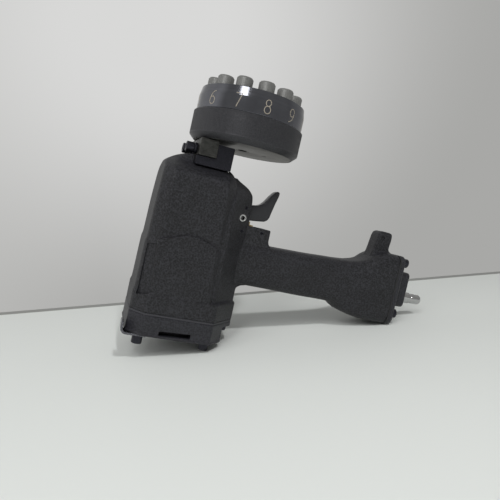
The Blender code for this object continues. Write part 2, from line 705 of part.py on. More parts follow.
def make_housing():
    casing = place("main_housing", loft(casing_sections()), "cast_black")
    chamber = place("air_chamber", loft(chamber_sections()), None)
    handle = place("handle", loft(handle_sections()), None)
    combine(casing, "UNION", chamber, side_panel("near_panel", -1), side_panel("far_panel", 1),
            handle, handle_fillet(), trigger_block(), end_lug())
    bore = place("cylinder_bore", cylinder(CYLINDER_BORE, CYLINDER_BORE_DEPTH + OVERRUN, 48),
                 None, (0, 0, HOUSING_Z - OVERRUN))
    rod = place("rod_passage", cylinder(ROD_PASSAGE, HOUSING_LENGTH, 24), None,
                (0, 0, BORE_TOP_Z - OVERRUN))
    pocket = place("nose_pocket", box(
        (NOSE_FOOT_LEFT - FIT, -NOSE_HALF_Y - FIT, NOSE_POCKET_Z),
        (NOSE_RIGHT + CHAMBER_REACH, NOSE_HALF_Y + FIT, HOUSING_TOP_Z + NOSE_UPRIGHT_HEIGHT)),
        None)
    passage = long_hole("air_passage", AIR_PASSAGE_RADIUS, 0, FLANGE_X + OVERRUN, 0,
                        HANDLE_AXIS_Z)
    slot = place("trigger_slot", box(
        (SLOT_BACK_X, -TRIGGER_HALF_WIDTH - RUNNING_GAP, SLOT_FLOOR_Z),
        (BLOCK_REACH_X + OVERRUN, TRIGGER_HALF_WIDTH + RUNNING_GAP, SLOT_ROOF_Z)), None)
    valve = place("valve_hole", cylinder(VALVE_BODY_RADIUS + FIT,
                                         BLOCK_TOP_Z - VALVE_BODY_Z + OVERRUN, 28),
                  None, (VALVE_X, 0, VALVE_BODY_Z - FIT))
    combine(casing, "DIFFERENCE", bore, rod, pocket, passage, slot, valve)
    dimple = place("lug_dimple", cylinder(LUG_DIMPLE_RADIUS, LUG_DIMPLE_DEPTH + OVERRUN, 16),
                   None, (LUG_X - LUG_HALF_LENGTH * 0.3, -LUG_HALF_WIDTH + LUG_DIMPLE_DEPTH,
                          LUG_TOP_Z - LUG_HALF_LENGTH * 0.85), (math.pi / 2, 0, 0))
    combine(casing, "DIFFERENCE", dimple)
    pivot = cross_hole("pivot_hole", SLEEVE_RADIUS + FIT, TRIGGER_PIVOT_X, TRIGGER_PIVOT_Z,
                       HOUSING_HALF_Y + OVERRUN)
    combine(casing, "DIFFERENCE", pivot)
    for i, (x, z) in enumerate(ROLL_PINS_XZ):
        combine(casing, "DIFFERENCE", cross_hole(f"pin_hole_{i}", ROLL_PIN_RADIUS + FIT, x, z,
                                                 HOUSING_HALF_Y + OVERRUN, 12))
    for tag, x, y in SCREW_PLACES:
        tip = CAP_UNDER_Z + CAP_SCREW_LENGTH
        if tag == "front":
            tip = CAP_UNDER_Z + CAP_TONGUE_STEP + FRONT_SCREW_LENGTH
        combine(casing, "DIFFERENCE", screw_hole("housing_hole_" + tag, x, y,
                                                 HOUSING_Z - OVERRUN, tip + FIT))
    for tag, y, z in END_SCREW_PLACES:
        combine(casing, "DIFFERENCE", long_hole(
            "flange_hole_" + tag, SMALL_SHANK_RADIUS + FIT,
            END_FACE_X - END_SCREW_LENGTH - FIT, FLANGE_X + OVERRUN, y, z, 12))
    return casing


def cap_outline_sections(low, high):
    """The casing's and the chamber's base outline in one, for the cap and its gasket."""
    sections = []
    for height in (low, high):
        sections.append([
            (-HOUSING_HALF_X, -HOUSING_HALF_Y + HOUSING_CHAMFER, height),
            (-HOUSING_HALF_X + HOUSING_CHAMFER, -HOUSING_HALF_Y, height),
            (CHAMBER_REACH - CHAMBER_CHAMFER_X, -HOUSING_HALF_Y, height),
            (CHAMBER_REACH, -HOUSING_HALF_Y + CHAMBER_CHAMFER_Y, height),
            (CHAMBER_REACH, HOUSING_HALF_Y - CHAMBER_CHAMFER_Y, height),
            (CHAMBER_REACH - CHAMBER_CHAMFER_X, HOUSING_HALF_Y, height),
            (-HOUSING_HALF_X + HOUSING_CHAMFER, HOUSING_HALF_Y, height),
            (-HOUSING_HALF_X, HOUSING_HALF_Y - HOUSING_CHAMFER, height),
        ])
    return sections


def make_rear_cap():
    cap = place("rear_cap", loft(cap_outline_sections(CAP_UNDER_Z, CAP_TOP_Z)), "cap_black")
    round_edges(cap, CAP_EDGE, 2, 60)
    tongue = place("tongue_step", box(
        (CHAMBER_REACH - CAP_TONGUE_LENGTH, -HOUSING_HALF_Y - OVERRUN, CAP_UNDER_Z - OVERRUN),
        (CHAMBER_REACH + OVERRUN, HOUSING_HALF_Y + OVERRUN, CAP_UNDER_Z + CAP_TONGUE_STEP)),
        None)
    recess = place("cap_recess", cylinder(CYLINDER_BORE, CAP_RECESS_DEPTH + OVERRUN, 40), None,
                   (0, 0, CAP_TOP_Z - CAP_RECESS_DEPTH))
    combine(cap, "DIFFERENCE", tongue, recess)
    guide = place("valve_guide", cylinder(CAP_GUIDE_RADIUS, CAP_RECESS_DEPTH + CAP_GUIDE_HEIGHT,
                                          40), None, (0, 0, CAP_TOP_Z - CAP_RECESS_DEPTH - FIT))
    combine(cap, "UNION", guide)
    port = place("guide_bore", cylinder(CAP_GUIDE_BORE, CAP_GUIDE_HEIGHT + CAP_RECESS_DEPTH
                                        + OVERRUN, 32), None, (0, 0, CAP_TOP_Z - CAP_RECESS_DEPTH
                                                               + CAP_EDGE))
    slots = []
    for side in (-1, 1):
        half = EXHAUST_LENGTH / 2
        rise = EXHAUST_RISE / 2
        foot = CAP_UNDER_Z + CAP_EDGE
        outline = [
            (EXHAUST_OFFSET - half, foot), (EXHAUST_OFFSET + half, foot + rise),
            (EXHAUST_OFFSET + half, foot + rise + EXHAUST_HEIGHT),
            (EXHAUST_OFFSET - half, foot + EXHAUST_HEIGHT),
        ]
        outer = side * (HOUSING_HALF_Y + OVERRUN)
        inner = side * (HOUSING_HALF_Y - EXHAUST_DEPTH)
        slots.append(place(f"exhaust_slot_{side}",
                           flat_prism(outline, min(outer, inner), max(outer, inner)), None))
    combine(cap, "DIFFERENCE", port, *slots)
    for tag, x, y in SCREW_PLACES:
        combine(cap, "DIFFERENCE", screw_hole("cap_hole_" + tag, x, y, CAP_UNDER_Z - OVERRUN,
                                              CAP_TOP_Z + OVERRUN))
    return cap


def make_gasket():
    gasket = place("rear_cap_gasket", loft(cap_outline_sections(
        GASKET_Z, GASKET_Z + GASKET_THICKNESS)), "rubber")
    gasket.data.transform(Matrix.Diagonal((0.985, 0.985, 1, 1)))
    bore = place("gasket_bore", cylinder(CYLINDER_BORE, GASKET_THICKNESS + 2 * OVERRUN, 40),
                 None, (0, 0, GASKET_Z - OVERRUN))
    combine(gasket, "DIFFERENCE", bore)
    for tag, x, y in SCREW_PLACES:
        combine(gasket, "DIFFERENCE", screw_hole("gasket_hole_" + tag, x, y,
                                                 GASKET_Z - OVERRUN, HOUSING_Z + OVERRUN))
    return gasket


def make_cap_screws():
    for tag, x, y in SCREW_PLACES:
        seat = CAP_UNDER_Z - FIT
        length = CAP_SCREW_LENGTH
        if tag == "front":
            seat += CAP_TONGUE_STEP
            length = FRONT_SCREW_LENGTH
        if tag == "near_left":
            seat -= CLIP_THICKNESS + FIT
        socket_screw("cap_screw_" + tag, HEAD_RADIUS, HEAD_HEIGHT, SHANK_RADIUS, length,
                     HEX_RADIUS, HEX_DEPTH, (x, y, seat), (0, 0, 0))


def make_hook_clip():
    """A bent strip under the near left cap screw, its end standing off the casing."""
    top = CAP_UNDER_Z - FIT
    low = top - CLIP_THICKNESS
    outer = -HOUSING_HALF_X - CLIP_REACH
    centre = (outer + CLIP_RADIUS, low + CLIP_RADIUS)
    inner_radius = CLIP_RADIUS - CLIP_THICKNESS
    right = SCREW_REAR_X + CLIP_WIDTH / 2
    outside = [(centre[0] - CLIP_RADIUS * math.sin(math.pi / 2 * i / 5),
                centre[1] - CLIP_RADIUS * math.cos(math.pi / 2 * i / 5)) for i in range(6)]
    inside = [(centre[0] - inner_radius * math.sin(math.pi / 2 * i / 5),
               centre[1] - inner_radius * math.cos(math.pi / 2 * i / 5)) for i in range(6)]
    tip = low + CLIP_RISE
    outline = ([(right, low)] + outside + [(outer, tip), (outer + CLIP_THICKNESS, tip)]
               + inside[::-1] + [(right, top)])
    half = CLIP_WIDTH / 2
    clip = place("hook_clip", flat_prism(outline, -SCREW_SIDE_Y - half, -SCREW_SIDE_Y + half),
                 "black_oxide")
    hole = screw_hole("clip_hole", SCREW_REAR_X, -SCREW_SIDE_Y, low - OVERRUN, top + OVERRUN)
    return combine(clip, "DIFFERENCE", hole)


def make_cylinder_group():
    turned("cylinder_sleeve", [
        (SLEEVE_OUTER, SLEEVE_TOP_Z), (SLEEVE_OUTER, SLEEVE_Z), (SLEEVE_INNER, SLEEVE_Z),
        (SLEEVE_INNER, SLEEVE_TOP_Z),
    ], "aluminium", 40)
    middle = (SLEEVE_OUTER + CYLINDER_BORE) / 2
    collar = (CYLINDER_BORE - FIT, SLEEVE_OUTER + FIT)
    height = CYLINDER_BORE - SLEEVE_OUTER
    base = SLEEVE_TOP_Z - 2 * height
    turned("sleeve_collar", [
        (collar[0], base + height), (collar[0], base), (collar[1], base),
        (collar[1], base + height),
    ], "rubber", 40)
    turned("bumper", [
        (SLEEVE_INNER, BUMPER_Z + BUMPER_HEIGHT), (middle, BUMPER_Z + BUMPER_HEIGHT * 0.8),
        (middle, BUMPER_Z + BUMPER_HEIGHT * 0.2), (SLEEVE_INNER * 0.9, BUMPER_Z),
        (BUMPER_BORE, BUMPER_Z), (BUMPER_BORE, BUMPER_Z + BUMPER_HEIGHT),
    ], "rubber", 32)


def make_piston(carrier):
    """The piston with its rod. Its origin is on the cylinder's axis, at the piston's rear."""
    groove_top = PISTON_HEIGHT * 0.65
    groove_low = groove_top - 2 * PISTON_RING_WIRE - 2 * FIT
    groove_radius = PISTON_RADIUS - 2 * PISTON_RING_WIRE
    tip = ROD_TIP_Z - PISTON_Z
    turned("piston", [
        (0, tip), (ROD_RADIUS - FIT, tip), (ROD_RADIUS, tip - FIT),
        (ROD_RADIUS, PISTON_HEIGHT + ROD_RADIUS), (2 * ROD_RADIUS, PISTON_HEIGHT),
        (PISTON_RADIUS, PISTON_HEIGHT), (PISTON_RADIUS, groove_top),
        (groove_radius, groove_top), (groove_radius, groove_low),
        (PISTON_RADIUS, groove_low), (PISTON_RADIUS, 0), (0, 0),
    ], "aluminium", 28, parent=carrier)
    ring = bmesh.new()
    centre = groove_low + FIT + PISTON_RING_WIRE
    bmesh.ops.create_circle(ring, segments=6, radius=PISTON_RING_WIRE)
    spin_ring(ring, groove_radius + FIT + PISTON_RING_WIRE, centre, 32)
    place("piston_ring", finish_mesh(ring, "piston_ring"), "rubber", parent=carrier)


def spin_ring(bm, radius, height, steps):
    """Turns a small circle, drawn about the origin, into a ring about Z."""
    stand = Matrix.Translation((radius, 0, height)) @ Matrix.Rotation(math.pi / 2, 4, "X")
    bmesh.ops.transform(bm, verts=bm.verts[:], matrix=stand)
    bmesh.ops.spin(bm, geom=bm.verts[:] + bm.edges[:], cent=(0, 0, 0), axis=(0, 0, 1),
                   angle=2 * math.pi, steps=steps, use_merge=True)


def make_head_valve(carrier):
    turned("head_valve", [
        (HEAD_VALVE_RADIUS, HEAD_VALVE_HEIGHT), (HEAD_VALVE_RADIUS, 0), (HEAD_VALVE_BORE, 0),
        (HEAD_VALVE_BORE, HEAD_VALVE_HEIGHT),
    ], "aluminium", 40, parent=carrier)
    base = CAP_TOP_Z - CAP_RECESS_DEPTH + FIT
    coil("head_valve_spring", HEAD_SPRING_RADIUS, HEAD_SPRING_WIRE, HEAD_VALVE_Z - base - FIT,
         HEAD_SPRING_TURNS, "spring_steel", (0, 0, base))


def make_nose():
    outline = [
        (NOSE_FOOT_LEFT, NOSE_Z), (NOSE_RIGHT, NOSE_Z), (NOSE_RIGHT, NOSE_TOP_Z),
        (BRACKET_RIGHT + FIT, NOSE_TOP_Z), (BRACKET_RIGHT + FIT, NOSE_STEP_Z),
        (NOSE_FOOT_LEFT, NOSE_STEP_Z),
    ]
    block = place("nose_block", flat_prism(outline, -NOSE_HALF_Y, NOSE_HALF_Y), "black_oxide")
    guide = place("nose_guide", cylinder(ROD_GUIDE_RADIUS, NOSE_FOOT_HEIGHT + 2 * OVERRUN, 24),
                  None, (0, 0, NOSE_Z - OVERRUN))
    combine(block, "DIFFERENCE", guide)
    bracket = place("turret_bracket", box(
        (BRACKET_LEFT, -BRACKET_HALF_Y, BRACKET_Z), (BRACKET_RIGHT, BRACKET_HALF_Y,
                                                     BRACKET_TOP_Z),
        BRACKET_EDGE, 1), "bracket_steel")
    guide = place("bracket_guide", cylinder(ROD_GUIDE_RADIUS, BRACKET_HEIGHT + 2 * OVERRUN, 24),
                  None, (0, 0, BRACKET_Z - OVERRUN))
    combine(bracket, "DIFFERENCE", guide)
    for tag, side in (("near", -1), ("far", 1)):
        y = side * BRACKET_SCREW_Y
        hole = long_hole("bracket_hole_" + tag, SHANK_RADIUS + FIT, BRACKET_LEFT - OVERRUN,
                         BRACKET_LEFT + BRACKET_SCREW_LENGTH, y, BRACKET_SCREW_Z, 20)
        combine(bracket, "DIFFERENCE", hole)
        combine(block, "DIFFERENCE", hole)
        washer = BRACKET_WASHER_THICKNESS
        turned("bracket_washer_" + tag, [
            (BRACKET_WASHER_RADIUS, washer), (BRACKET_WASHER_RADIUS, 0), (SHANK_RADIUS + FIT, 0),
            (SHANK_RADIUS + FIT, washer),
        ], "black_oxide", 16, (BRACKET_LEFT - FIT - washer, y, BRACKET_SCREW_Z),
            (0, math.pi / 2, 0))
        socket_screw("bracket_screw_" + tag, HEAD_RADIUS, HEAD_HEIGHT, SHANK_RADIUS,
                     BRACKET_SCREW_LENGTH + washer, HEX_RADIUS, HEX_DEPTH,
                     (BRACKET_LEFT - 2 * FIT - washer, y, BRACKET_SCREW_Z), (0, math.pi / 2, 0))


def make_base_plate():
    plate = turned("turret_base_plate", [
        (PLATE_RADIUS, PLATE_TOP_Z), (PLATE_RADIUS, PLATE_Z), (AXLE_FOOT_RADIUS + FIT, PLATE_Z),
        (AXLE_FOOT_RADIUS + FIT, PLATE_TOP_Z),
    ], "brushed_plate", 48, (TURRET_X, 0, 0))
    x = TURRET_X + DETENT_CIRCLE
    y = 0
    strike = place("strike_hole", cylinder(PLATE_HOLE_RADIUS, PLATE_THICKNESS + 2 * OVERRUN,
                                           28), None, (0, 0, PLATE_Z - OVERRUN))
    bore = place("detent_bore", cylinder(DETENT_BORE, PLATE_THICKNESS + 2 * OVERRUN, 20), None,
                 (x, y, PLATE_Z - OVERRUN))
    combine(plate, "DIFFERENCE", strike, bore)
    ball = bmesh.new()
    bmesh.ops.create_uvsphere(ball, u_segments=12, v_segments=8, radius=DETENT_BALL_RADIUS)
    centre_z = POCKET_ROOF_Z + DETENT_DIMPLE_RADIUS * 0.28 - DETENT_BALL_RADIUS - FIT
    place("detent_ball", finish_mesh(ball, "detent_ball"), "bright_steel", (x, y, centre_z))
    turned("detent_screw", [
        (0, DETENT_SCREW_LENGTH), (DETENT_BORE - FIT, DETENT_SCREW_LENGTH),
        (DETENT_BORE - FIT, 0), (0, 0),
    ], "black_oxide", 18, (x, y, PLATE_Z + FIT))
    spring_z = PLATE_Z + FIT + DETENT_SCREW_LENGTH + FIT / 2
    spring_top = centre_z - DETENT_BALL_RADIUS * 0.86
    coil("detent_spring", DETENT_BORE * 0.55, DETENT_SPRING_WIRE, spring_top - spring_z, 2,
         "spring_steel", (x, y, spring_z), points_a_turn=8)


def make_axle():
    """The turret's shouldered axle: its foot fits the base plate and its head holds the turret."""
    shoulder = PLATE_TOP_Z + FIT
    head = KNURLED_TOP_Z + FIT
    axle = turned("turret_axle", [
        (0, head + AXLE_HEAD_HEIGHT), (AXLE_HEAD_RADIUS - EDGE_ROUND / 2,
                                       head + AXLE_HEAD_HEIGHT),
        (AXLE_HEAD_RADIUS, head + AXLE_HEAD_HEIGHT - EDGE_ROUND / 2),
        (AXLE_HEAD_RADIUS, head), (AXLE_RADIUS, head), (AXLE_RADIUS, shoulder),
        (AXLE_FOOT_RADIUS, shoulder), (AXLE_FOOT_RADIUS, PLATE_Z), (0, PLATE_Z),
    ], "bright_steel", 28, (TURRET_X, 0, 0))
    slot = place("axle_slot", box(
        (TURRET_X - AXLE_SLOT_LENGTH / 2, -AXLE_SLOT_WIDTH / 2, PLATE_Z - OVERRUN),
        (TURRET_X + AXLE_SLOT_LENGTH / 2, AXLE_SLOT_WIDTH / 2, PLATE_Z + AXLE_SLOT_DEPTH)),
        None)
    hexagon = place("axle_hexagon", cylinder(AXLE_RADIUS * 0.7, HEX_DEPTH + OVERRUN, 6), None,
                    (TURRET_X, 0, head + AXLE_HEAD_HEIGHT - HEX_DEPTH))
    return combine(axle, "DIFFERENCE", slot, hexagon)


def punch_angle(i):
    """The first punch lies over the cylinder's axis."""
    return math.pi + 2 * math.pi * i / PUNCH_COUNT


def make_turret(carrier):
    """The turning pieces. carrier is on the turret's axis at the gun's base level."""
    pocket = PLATE_RADIUS + RUNNING_GAP
    wheel = turned("knurled_wheel", [
        (KNURLED_RADIUS - KNURLED_LIP, KNURLED_TOP_Z), (KNURLED_RADIUS, KNURLED_TOP_Z
                                                        - KNURLED_LIP),
        (KNURLED_RADIUS, KNURLED_Z + KNURLED_CHAMFER_Z),
        (KNURLED_RADIUS - KNURLED_CHAMFER_X + FIT, KNURLED_Z),
        (pocket, KNURLED_Z), (pocket, POCKET_ROOF_Z), (AXLE_RADIUS + RUNNING_GAP,
                                                       POCKET_ROOF_Z),
        (AXLE_RADIUS + RUNNING_GAP, KNURLED_TOP_Z),
    ], "turret_steel", 48, parent=carrier)
    top = DIGIT_RING_TOP_Z
    ring = turned("digit_ring", [
        (DIGIT_RING_RADIUS - DIGIT_RING_CONE_X, top),
        (DIGIT_RING_RADIUS, top - DIGIT_RING_CONE_Z), (DIGIT_RING_RADIUS, DIGIT_RING_Z),
        (DIGIT_RING_INNER, DIGIT_RING_Z), (DIGIT_RING_INNER, top),
    ], "blued_steel", 48, parent=carrier)
    shank_cuts = bmesh.new()
    head_cuts = bmesh.new()
    dimples = bmesh.new()
    for i in range(PUNCH_COUNT):
        turn = punch_angle(i)
        spot = Vector((PUNCH_CIRCLE * math.cos(turn), PUNCH_CIRCLE * math.sin(turn), 0))
        for target, radius, low, high in (
                (shank_cuts, PUNCH_SHANK_RADIUS + RUNNING_GAP, POCKET_ROOF_Z, KNURLED_TOP_Z),
                (head_cuts, PUNCH_HEAD_RADIUS + RUNNING_GAP, DIGIT_RING_Z, top)):
            depth = high - low + 2 * OVERRUN
            centre = Matrix.Translation(spot + Vector((0, 0, (low + high) / 2)))
            bmesh.ops.create_cone(
                target, cap_ends=True, segments=16, radius1=radius, radius2=radius,
                depth=depth, matrix=centre @ Matrix.Rotation(turn + CUT_TURN, 4, "Z"))
        dimple = Vector((DETENT_CIRCLE * math.cos(turn), DETENT_CIRCLE * math.sin(turn),
                         POCKET_ROOF_Z - DETENT_DIMPLE_RADIUS * 0.62))
        bmesh.ops.create_uvsphere(dimples, u_segments=8, v_segments=6,
                                  radius=DETENT_DIMPLE_RADIUS,
                                  matrix=Matrix.Translation(dimple)
                                  @ Matrix.Rotation(turn + CUT_TURN, 4, "Z"))
    cut = place("shank_holes", finish_mesh(shank_cuts, "shank_holes"), None, parent=carrier)
    dips = place("detent_dimples", finish_mesh(dimples, "detent_dimples"), None,
                 parent=carrier)
    combine(wheel, "DIFFERENCE", cut, dips)
    cut = place("head_holes", finish_mesh(head_cuts, "head_holes"), None, parent=carrier)
    groove_outer = PUNCH_CIRCLE - PUNCH_HEAD_RADIUS + FIT
    groove = turned("keeper_groove", [
        (groove_outer, DIGIT_RING_Z + 2 * KEEPER_WIRE + 2 * FIT), (groove_outer,
                                                                   DIGIT_RING_Z - OVERRUN),
        (groove_outer - 2 * KEEPER_WIRE - 2 * FIT, DIGIT_RING_Z - OVERRUN),
        (groove_outer - 2 * KEEPER_WIRE - 2 * FIT, DIGIT_RING_Z + 2 * KEEPER_WIRE + 2 * FIT),
    ], None, 44, parent=carrier)
    combine(ring, "DIFFERENCE", groove, cut)
    keeper = bmesh.new()
    bmesh.ops.create_circle(keeper, segments=6, radius=KEEPER_WIRE)
    spin_ring(keeper, groove_outer - FIT - FIT - KEEPER_WIRE, DIGIT_RING_Z + KEEPER_WIRE, 36)
    place("punch_keeper_ring", finish_mesh(keeper, "keeper"), "rubber", parent=carrier)
    for i in range(PUNCH_COUNT):
        make_punch(i, carrier)


def make_punch(i, carrier):
    turn = punch_angle(i)
    turned(f"punch_{i:02d}", [
        (0, PUNCH_TOP_Z), (PUNCH_HEAD_RADIUS - PUNCH_EDGE, PUNCH_TOP_Z),
        (PUNCH_HEAD_RADIUS, PUNCH_TOP_Z - PUNCH_EDGE), (PUNCH_HEAD_RADIUS, PUNCH_SHOULDER_Z),
        (PUNCH_SHANK_RADIUS, PUNCH_SHOULDER_Z), (PUNCH_SHANK_RADIUS, PUNCH_FOOT_Z),
        (0, PUNCH_FOOT_Z),
    ], "punch_steel", 16, (PUNCH_CIRCLE * math.cos(turn), PUNCH_CIRCLE * math.sin(turn), 0),
        (0, 0, turn), carrier)


def make_trigger(pivot):
    outline = [(TRIGGER_REACH * u, TRIGGER_RISE * v) for u, v in TRIGGER_SHARES]
    trigger = place("trigger", flat_prism(outline, -TRIGGER_HALF_WIDTH, TRIGGER_HALF_WIDTH),
                    "trigger_black", parent=pivot)
    round_edges(trigger, TRIGGER_HALF_WIDTH * 0.14, 1, 60)
    hole = place("trigger_hole", cylinder(SLEEVE_RADIUS + RUNNING_GAP,
                                          2 * TRIGGER_HALF_WIDTH + 2 * OVERRUN, 24), None,
                 (0, TRIGGER_HALF_WIDTH + OVERRUN, 0), (math.pi / 2, 0, 0), pivot)
    combine(trigger, "DIFFERENCE", hole)
    turned("trigger_pivot_sleeve", [
        (SLEEVE_RADIUS, SLEEVE_HALF_LENGTH), (SLEEVE_RADIUS, -SLEEVE_HALF_LENGTH),
        (SLEEVE_BORE, -SLEEVE_HALF_LENGTH), (SLEEVE_BORE, SLEEVE_HALF_LENGTH),
    ], "bright_steel", 24, (TRIGGER_PIVOT_X, 0, TRIGGER_PIVOT_Z), (math.pi / 2, 0, 0))
    for i, ((x, z), half) in enumerate(zip(ROLL_PINS_XZ, ROLL_PIN_HALF_LENGTHS)):
        turned(f"roll_pin_{i + 1}", [
            (ROLL_PIN_RADIUS, half), (ROLL_PIN_RADIUS, -half), (ROLL_PIN_BORE, -half),
            (ROLL_PIN_BORE, half),
        ], "black_oxide", 12, (x, 0, z), (math.pi / 2, 0, 0))


def make_valve(carrier):
    """The trigger valve. The stem's origin is on its axis, at the valve body's top."""
    bore = STEM_FLANGE_RADIUS + FIT
    lip = VALVE_BODY_RADIUS / 2
    turned("trigger_valve_body", [
        (VALVE_BODY_RADIUS, VALVE_BODY_TOP_Z), (VALVE_BODY_RADIUS, VALVE_BODY_Z),
        (bore, VALVE_BODY_Z), (bore, VALVE_BODY_TOP_Z - lip),
        (STEM_RADIUS + FIT, VALVE_BODY_TOP_Z - lip), (STEM_RADIUS + FIT, VALVE_BODY_TOP_Z),
    ], "brass", 24, (VALVE_X, 0, 0))
    flange_top = -lip - FIT
    flange_low = flange_top - lip
    low = -VALVE_BODY_LENGTH * 0.7
    turned("valve_stem", [
        (0, STEM_PROUD), (STEM_RADIUS - FIT, STEM_PROUD), (STEM_RADIUS, STEM_PROUD - FIT),
        (STEM_RADIUS, flange_top), (STEM_FLANGE_RADIUS, flange_top),
        (STEM_FLANGE_RADIUS, flange_low), (STEM_RADIUS, flange_low), (STEM_RADIUS, low),
        (0, low),
    ], "brass", 16, parent=carrier)
    spring_radius = (STEM_RADIUS + STEM_FLANGE_RADIUS) / 2 + FIT
    spring_z = VALVE_BODY_Z + VALVE_SPRING_WIRE
    coil("valve_spring", spring_radius, VALVE_SPRING_WIRE,
         VALVE_BODY_TOP_Z + flange_low - FIT - spring_z, 5, "spring_steel",
         (VALVE_X, 0, spring_z), points_a_turn=8)
    seat = turned("valve_end_ring", [
        (VALVE_BODY_RADIUS, VALVE_BODY_Z - FIT), (VALVE_BODY_RADIUS, VALVE_BODY_Z - FIT
                                                  - GASKET_THICKNESS),
        (STEM_RADIUS + FIT, VALVE_BODY_Z - FIT - GASKET_THICKNESS),
        (STEM_RADIUS + FIT, VALVE_BODY_Z - FIT),
    ], "brass", 20, (VALVE_X, 0, 0))
    return seat


def make_handle_end():
    outline = rounded_rectangle(FLANGE_HALF_WIDTH, FLANGE_HALF_HEIGHT, END_CAP_ROUND, 0,
                                FLANGE_CENTRE_Z)
    gasket = place("end_cap_gasket", flat_prism(
        outline, FLANGE_X + FIT, FLANGE_X + FIT + GASKET_THICKNESS, "X"), "rubber")
    gasket.data.transform(Matrix.Translation((0, 0, FLANGE_CENTRE_Z * 0.015))
                          @ Matrix.Diagonal((1, 0.985, 0.985, 1)))
    cap = place("handle_end_cap", flat_prism(outline, END_CAP_X, END_FACE_X, "X"), "cap_black")
    round_edges(cap, CAP_EDGE, 2, 60)
    boss_outline = rounded_rectangle(END_BOSS_HALF_Y, END_BOSS_HALF_Z, END_CAP_ROUND, 0,
                                     END_BOSS_Z)
    boss = place("inlet_boss", flat_prism(boss_outline, END_FACE_X - CAP_EDGE, INLET_FACE_X,
                                          "X"), None)
    round_edges(boss, CAP_EDGE, 2, 60)
    combine(cap, "UNION", boss)
    inlet = long_hole("inlet_hole", PLUG_THREAD_RADIUS + FIT, END_CAP_X - OVERRUN,
                      INLET_FACE_X + OVERRUN, 0, INLET_Z)
    combine(cap, "DIFFERENCE", inlet)
    passage = long_hole("gasket_passage", AIR_PASSAGE_RADIUS, FLANGE_X - OVERRUN,
                        END_CAP_X + OVERRUN, 0, HANDLE_AXIS_Z)
    combine(gasket, "DIFFERENCE", passage)
    for tag, y, z in END_SCREW_PLACES:
        hole = long_hole("end_hole_" + tag, SMALL_SHANK_RADIUS + FIT, FLANGE_X - OVERRUN,
                         END_FACE_X + OVERRUN, y, z, 12)
        combine(cap, "DIFFERENCE", hole)
        combine(gasket, "DIFFERENCE", hole)
        socket_screw("end_screw_" + tag, SMALL_HEAD_RADIUS, SMALL_HEAD_HEIGHT,
                     SMALL_SHANK_RADIUS, END_SCREW_LENGTH, SMALL_HEX_RADIUS, SMALL_HEX_DEPTH,
                     (END_FACE_X + FIT, y, z), (0, -math.pi / 2, 0))
    collar = PLUG_COLLAR_LENGTH
    neck = collar + PLUG_NECK_LENGTH
    nose = neck + PLUG_NOSE_LENGTH
    edge = PLUG_NECK_LENGTH / 2
    turned("air_plug", [
        (PLUG_NOSE_RADIUS - edge, nose), (PLUG_NOSE_RADIUS, nose - edge),
        (PLUG_NOSE_RADIUS, neck + edge), (PLUG_NECK_RADIUS, neck), (PLUG_NECK_RADIUS, collar),
        (PLUG_COLLAR_RADIUS, collar), (PLUG_COLLAR_RADIUS, 0), (PLUG_THREAD_RADIUS, 0),
        (PLUG_THREAD_RADIUS, -END_BOSS_HEIGHT), (PLUG_BORE_RADIUS, -END_BOSS_HEIGHT),
        (PLUG_BORE_RADIUS, nose),
    ], "bright_steel", 24, (INLET_FACE_X + FIT, 0, INLET_Z), (0, math.pi / 2, 0))


def lean_gun():
    """Leans the gun until the rear cap's feet and the handle's end stand on one level."""
    lean = math.atan2(END_FOOT_Z, FLANGE_X + END_CAP_THICKNESS - FOOT_EDGE_X)
    gun_frame.rotation_euler = (0, lean, 0)
    bpy.context.view_layer.update()
    graph = bpy.context.evaluated_depsgraph_get()
    corners = []
    for obj in parts.objects:
        if obj.type == "EMPTY":
            continue
        evaluated = obj.evaluated_get(graph)
        mesh = evaluated.to_mesh()
        points = np.empty(len(mesh.vertices) * 3, np.float32)
        mesh.vertices.foreach_get("co", points)
        world = np.array(evaluated.matrix_world)
        points = points.reshape(-1, 3) @ world[:3, :3].T + world[:3, 3]
        corners += [points.min(axis=0), points.max(axis=0)]
        evaluated.to_mesh_clear()
    low, high = np.min(corners, axis=0), np.max(corners, axis=0)
    gun_frame.location = (-(low[0] + high[0]) / 2, -(low[1] + high[1]) / 2, -low[2])


turret_axis = make_empty("turret_axis", (TURRET_X, 0, 0), gun_frame)
piston_axis = make_empty("piston_axis", (0, 0, PISTON_Z), gun_frame)
head_valve_axis = make_empty("head_valve_axis", (0, 0, HEAD_VALVE_Z), gun_frame)
trigger_axis = make_empty("trigger_axis", (TRIGGER_PIVOT_X, 0, TRIGGER_PIVOT_Z), gun_frame)
stem_axis = make_empty("stem_axis", (VALVE_X, 0, VALVE_BODY_TOP_Z), gun_frame)

make_housing()
make_rear_cap()
make_gasket()
make_cap_screws()
make_hook_clip()
make_cylinder_group()
make_piston(piston_axis)
make_head_valve(head_valve_axis)
make_nose()
make_base_plate()
make_axle()
make_turret(turret_axis)
make_trigger(trigger_axis)
make_valve(stem_axis)
make_handle_end()
lean_gun()
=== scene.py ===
import json
import math

import bpy
import numpy as np
from mathutils import Matrix


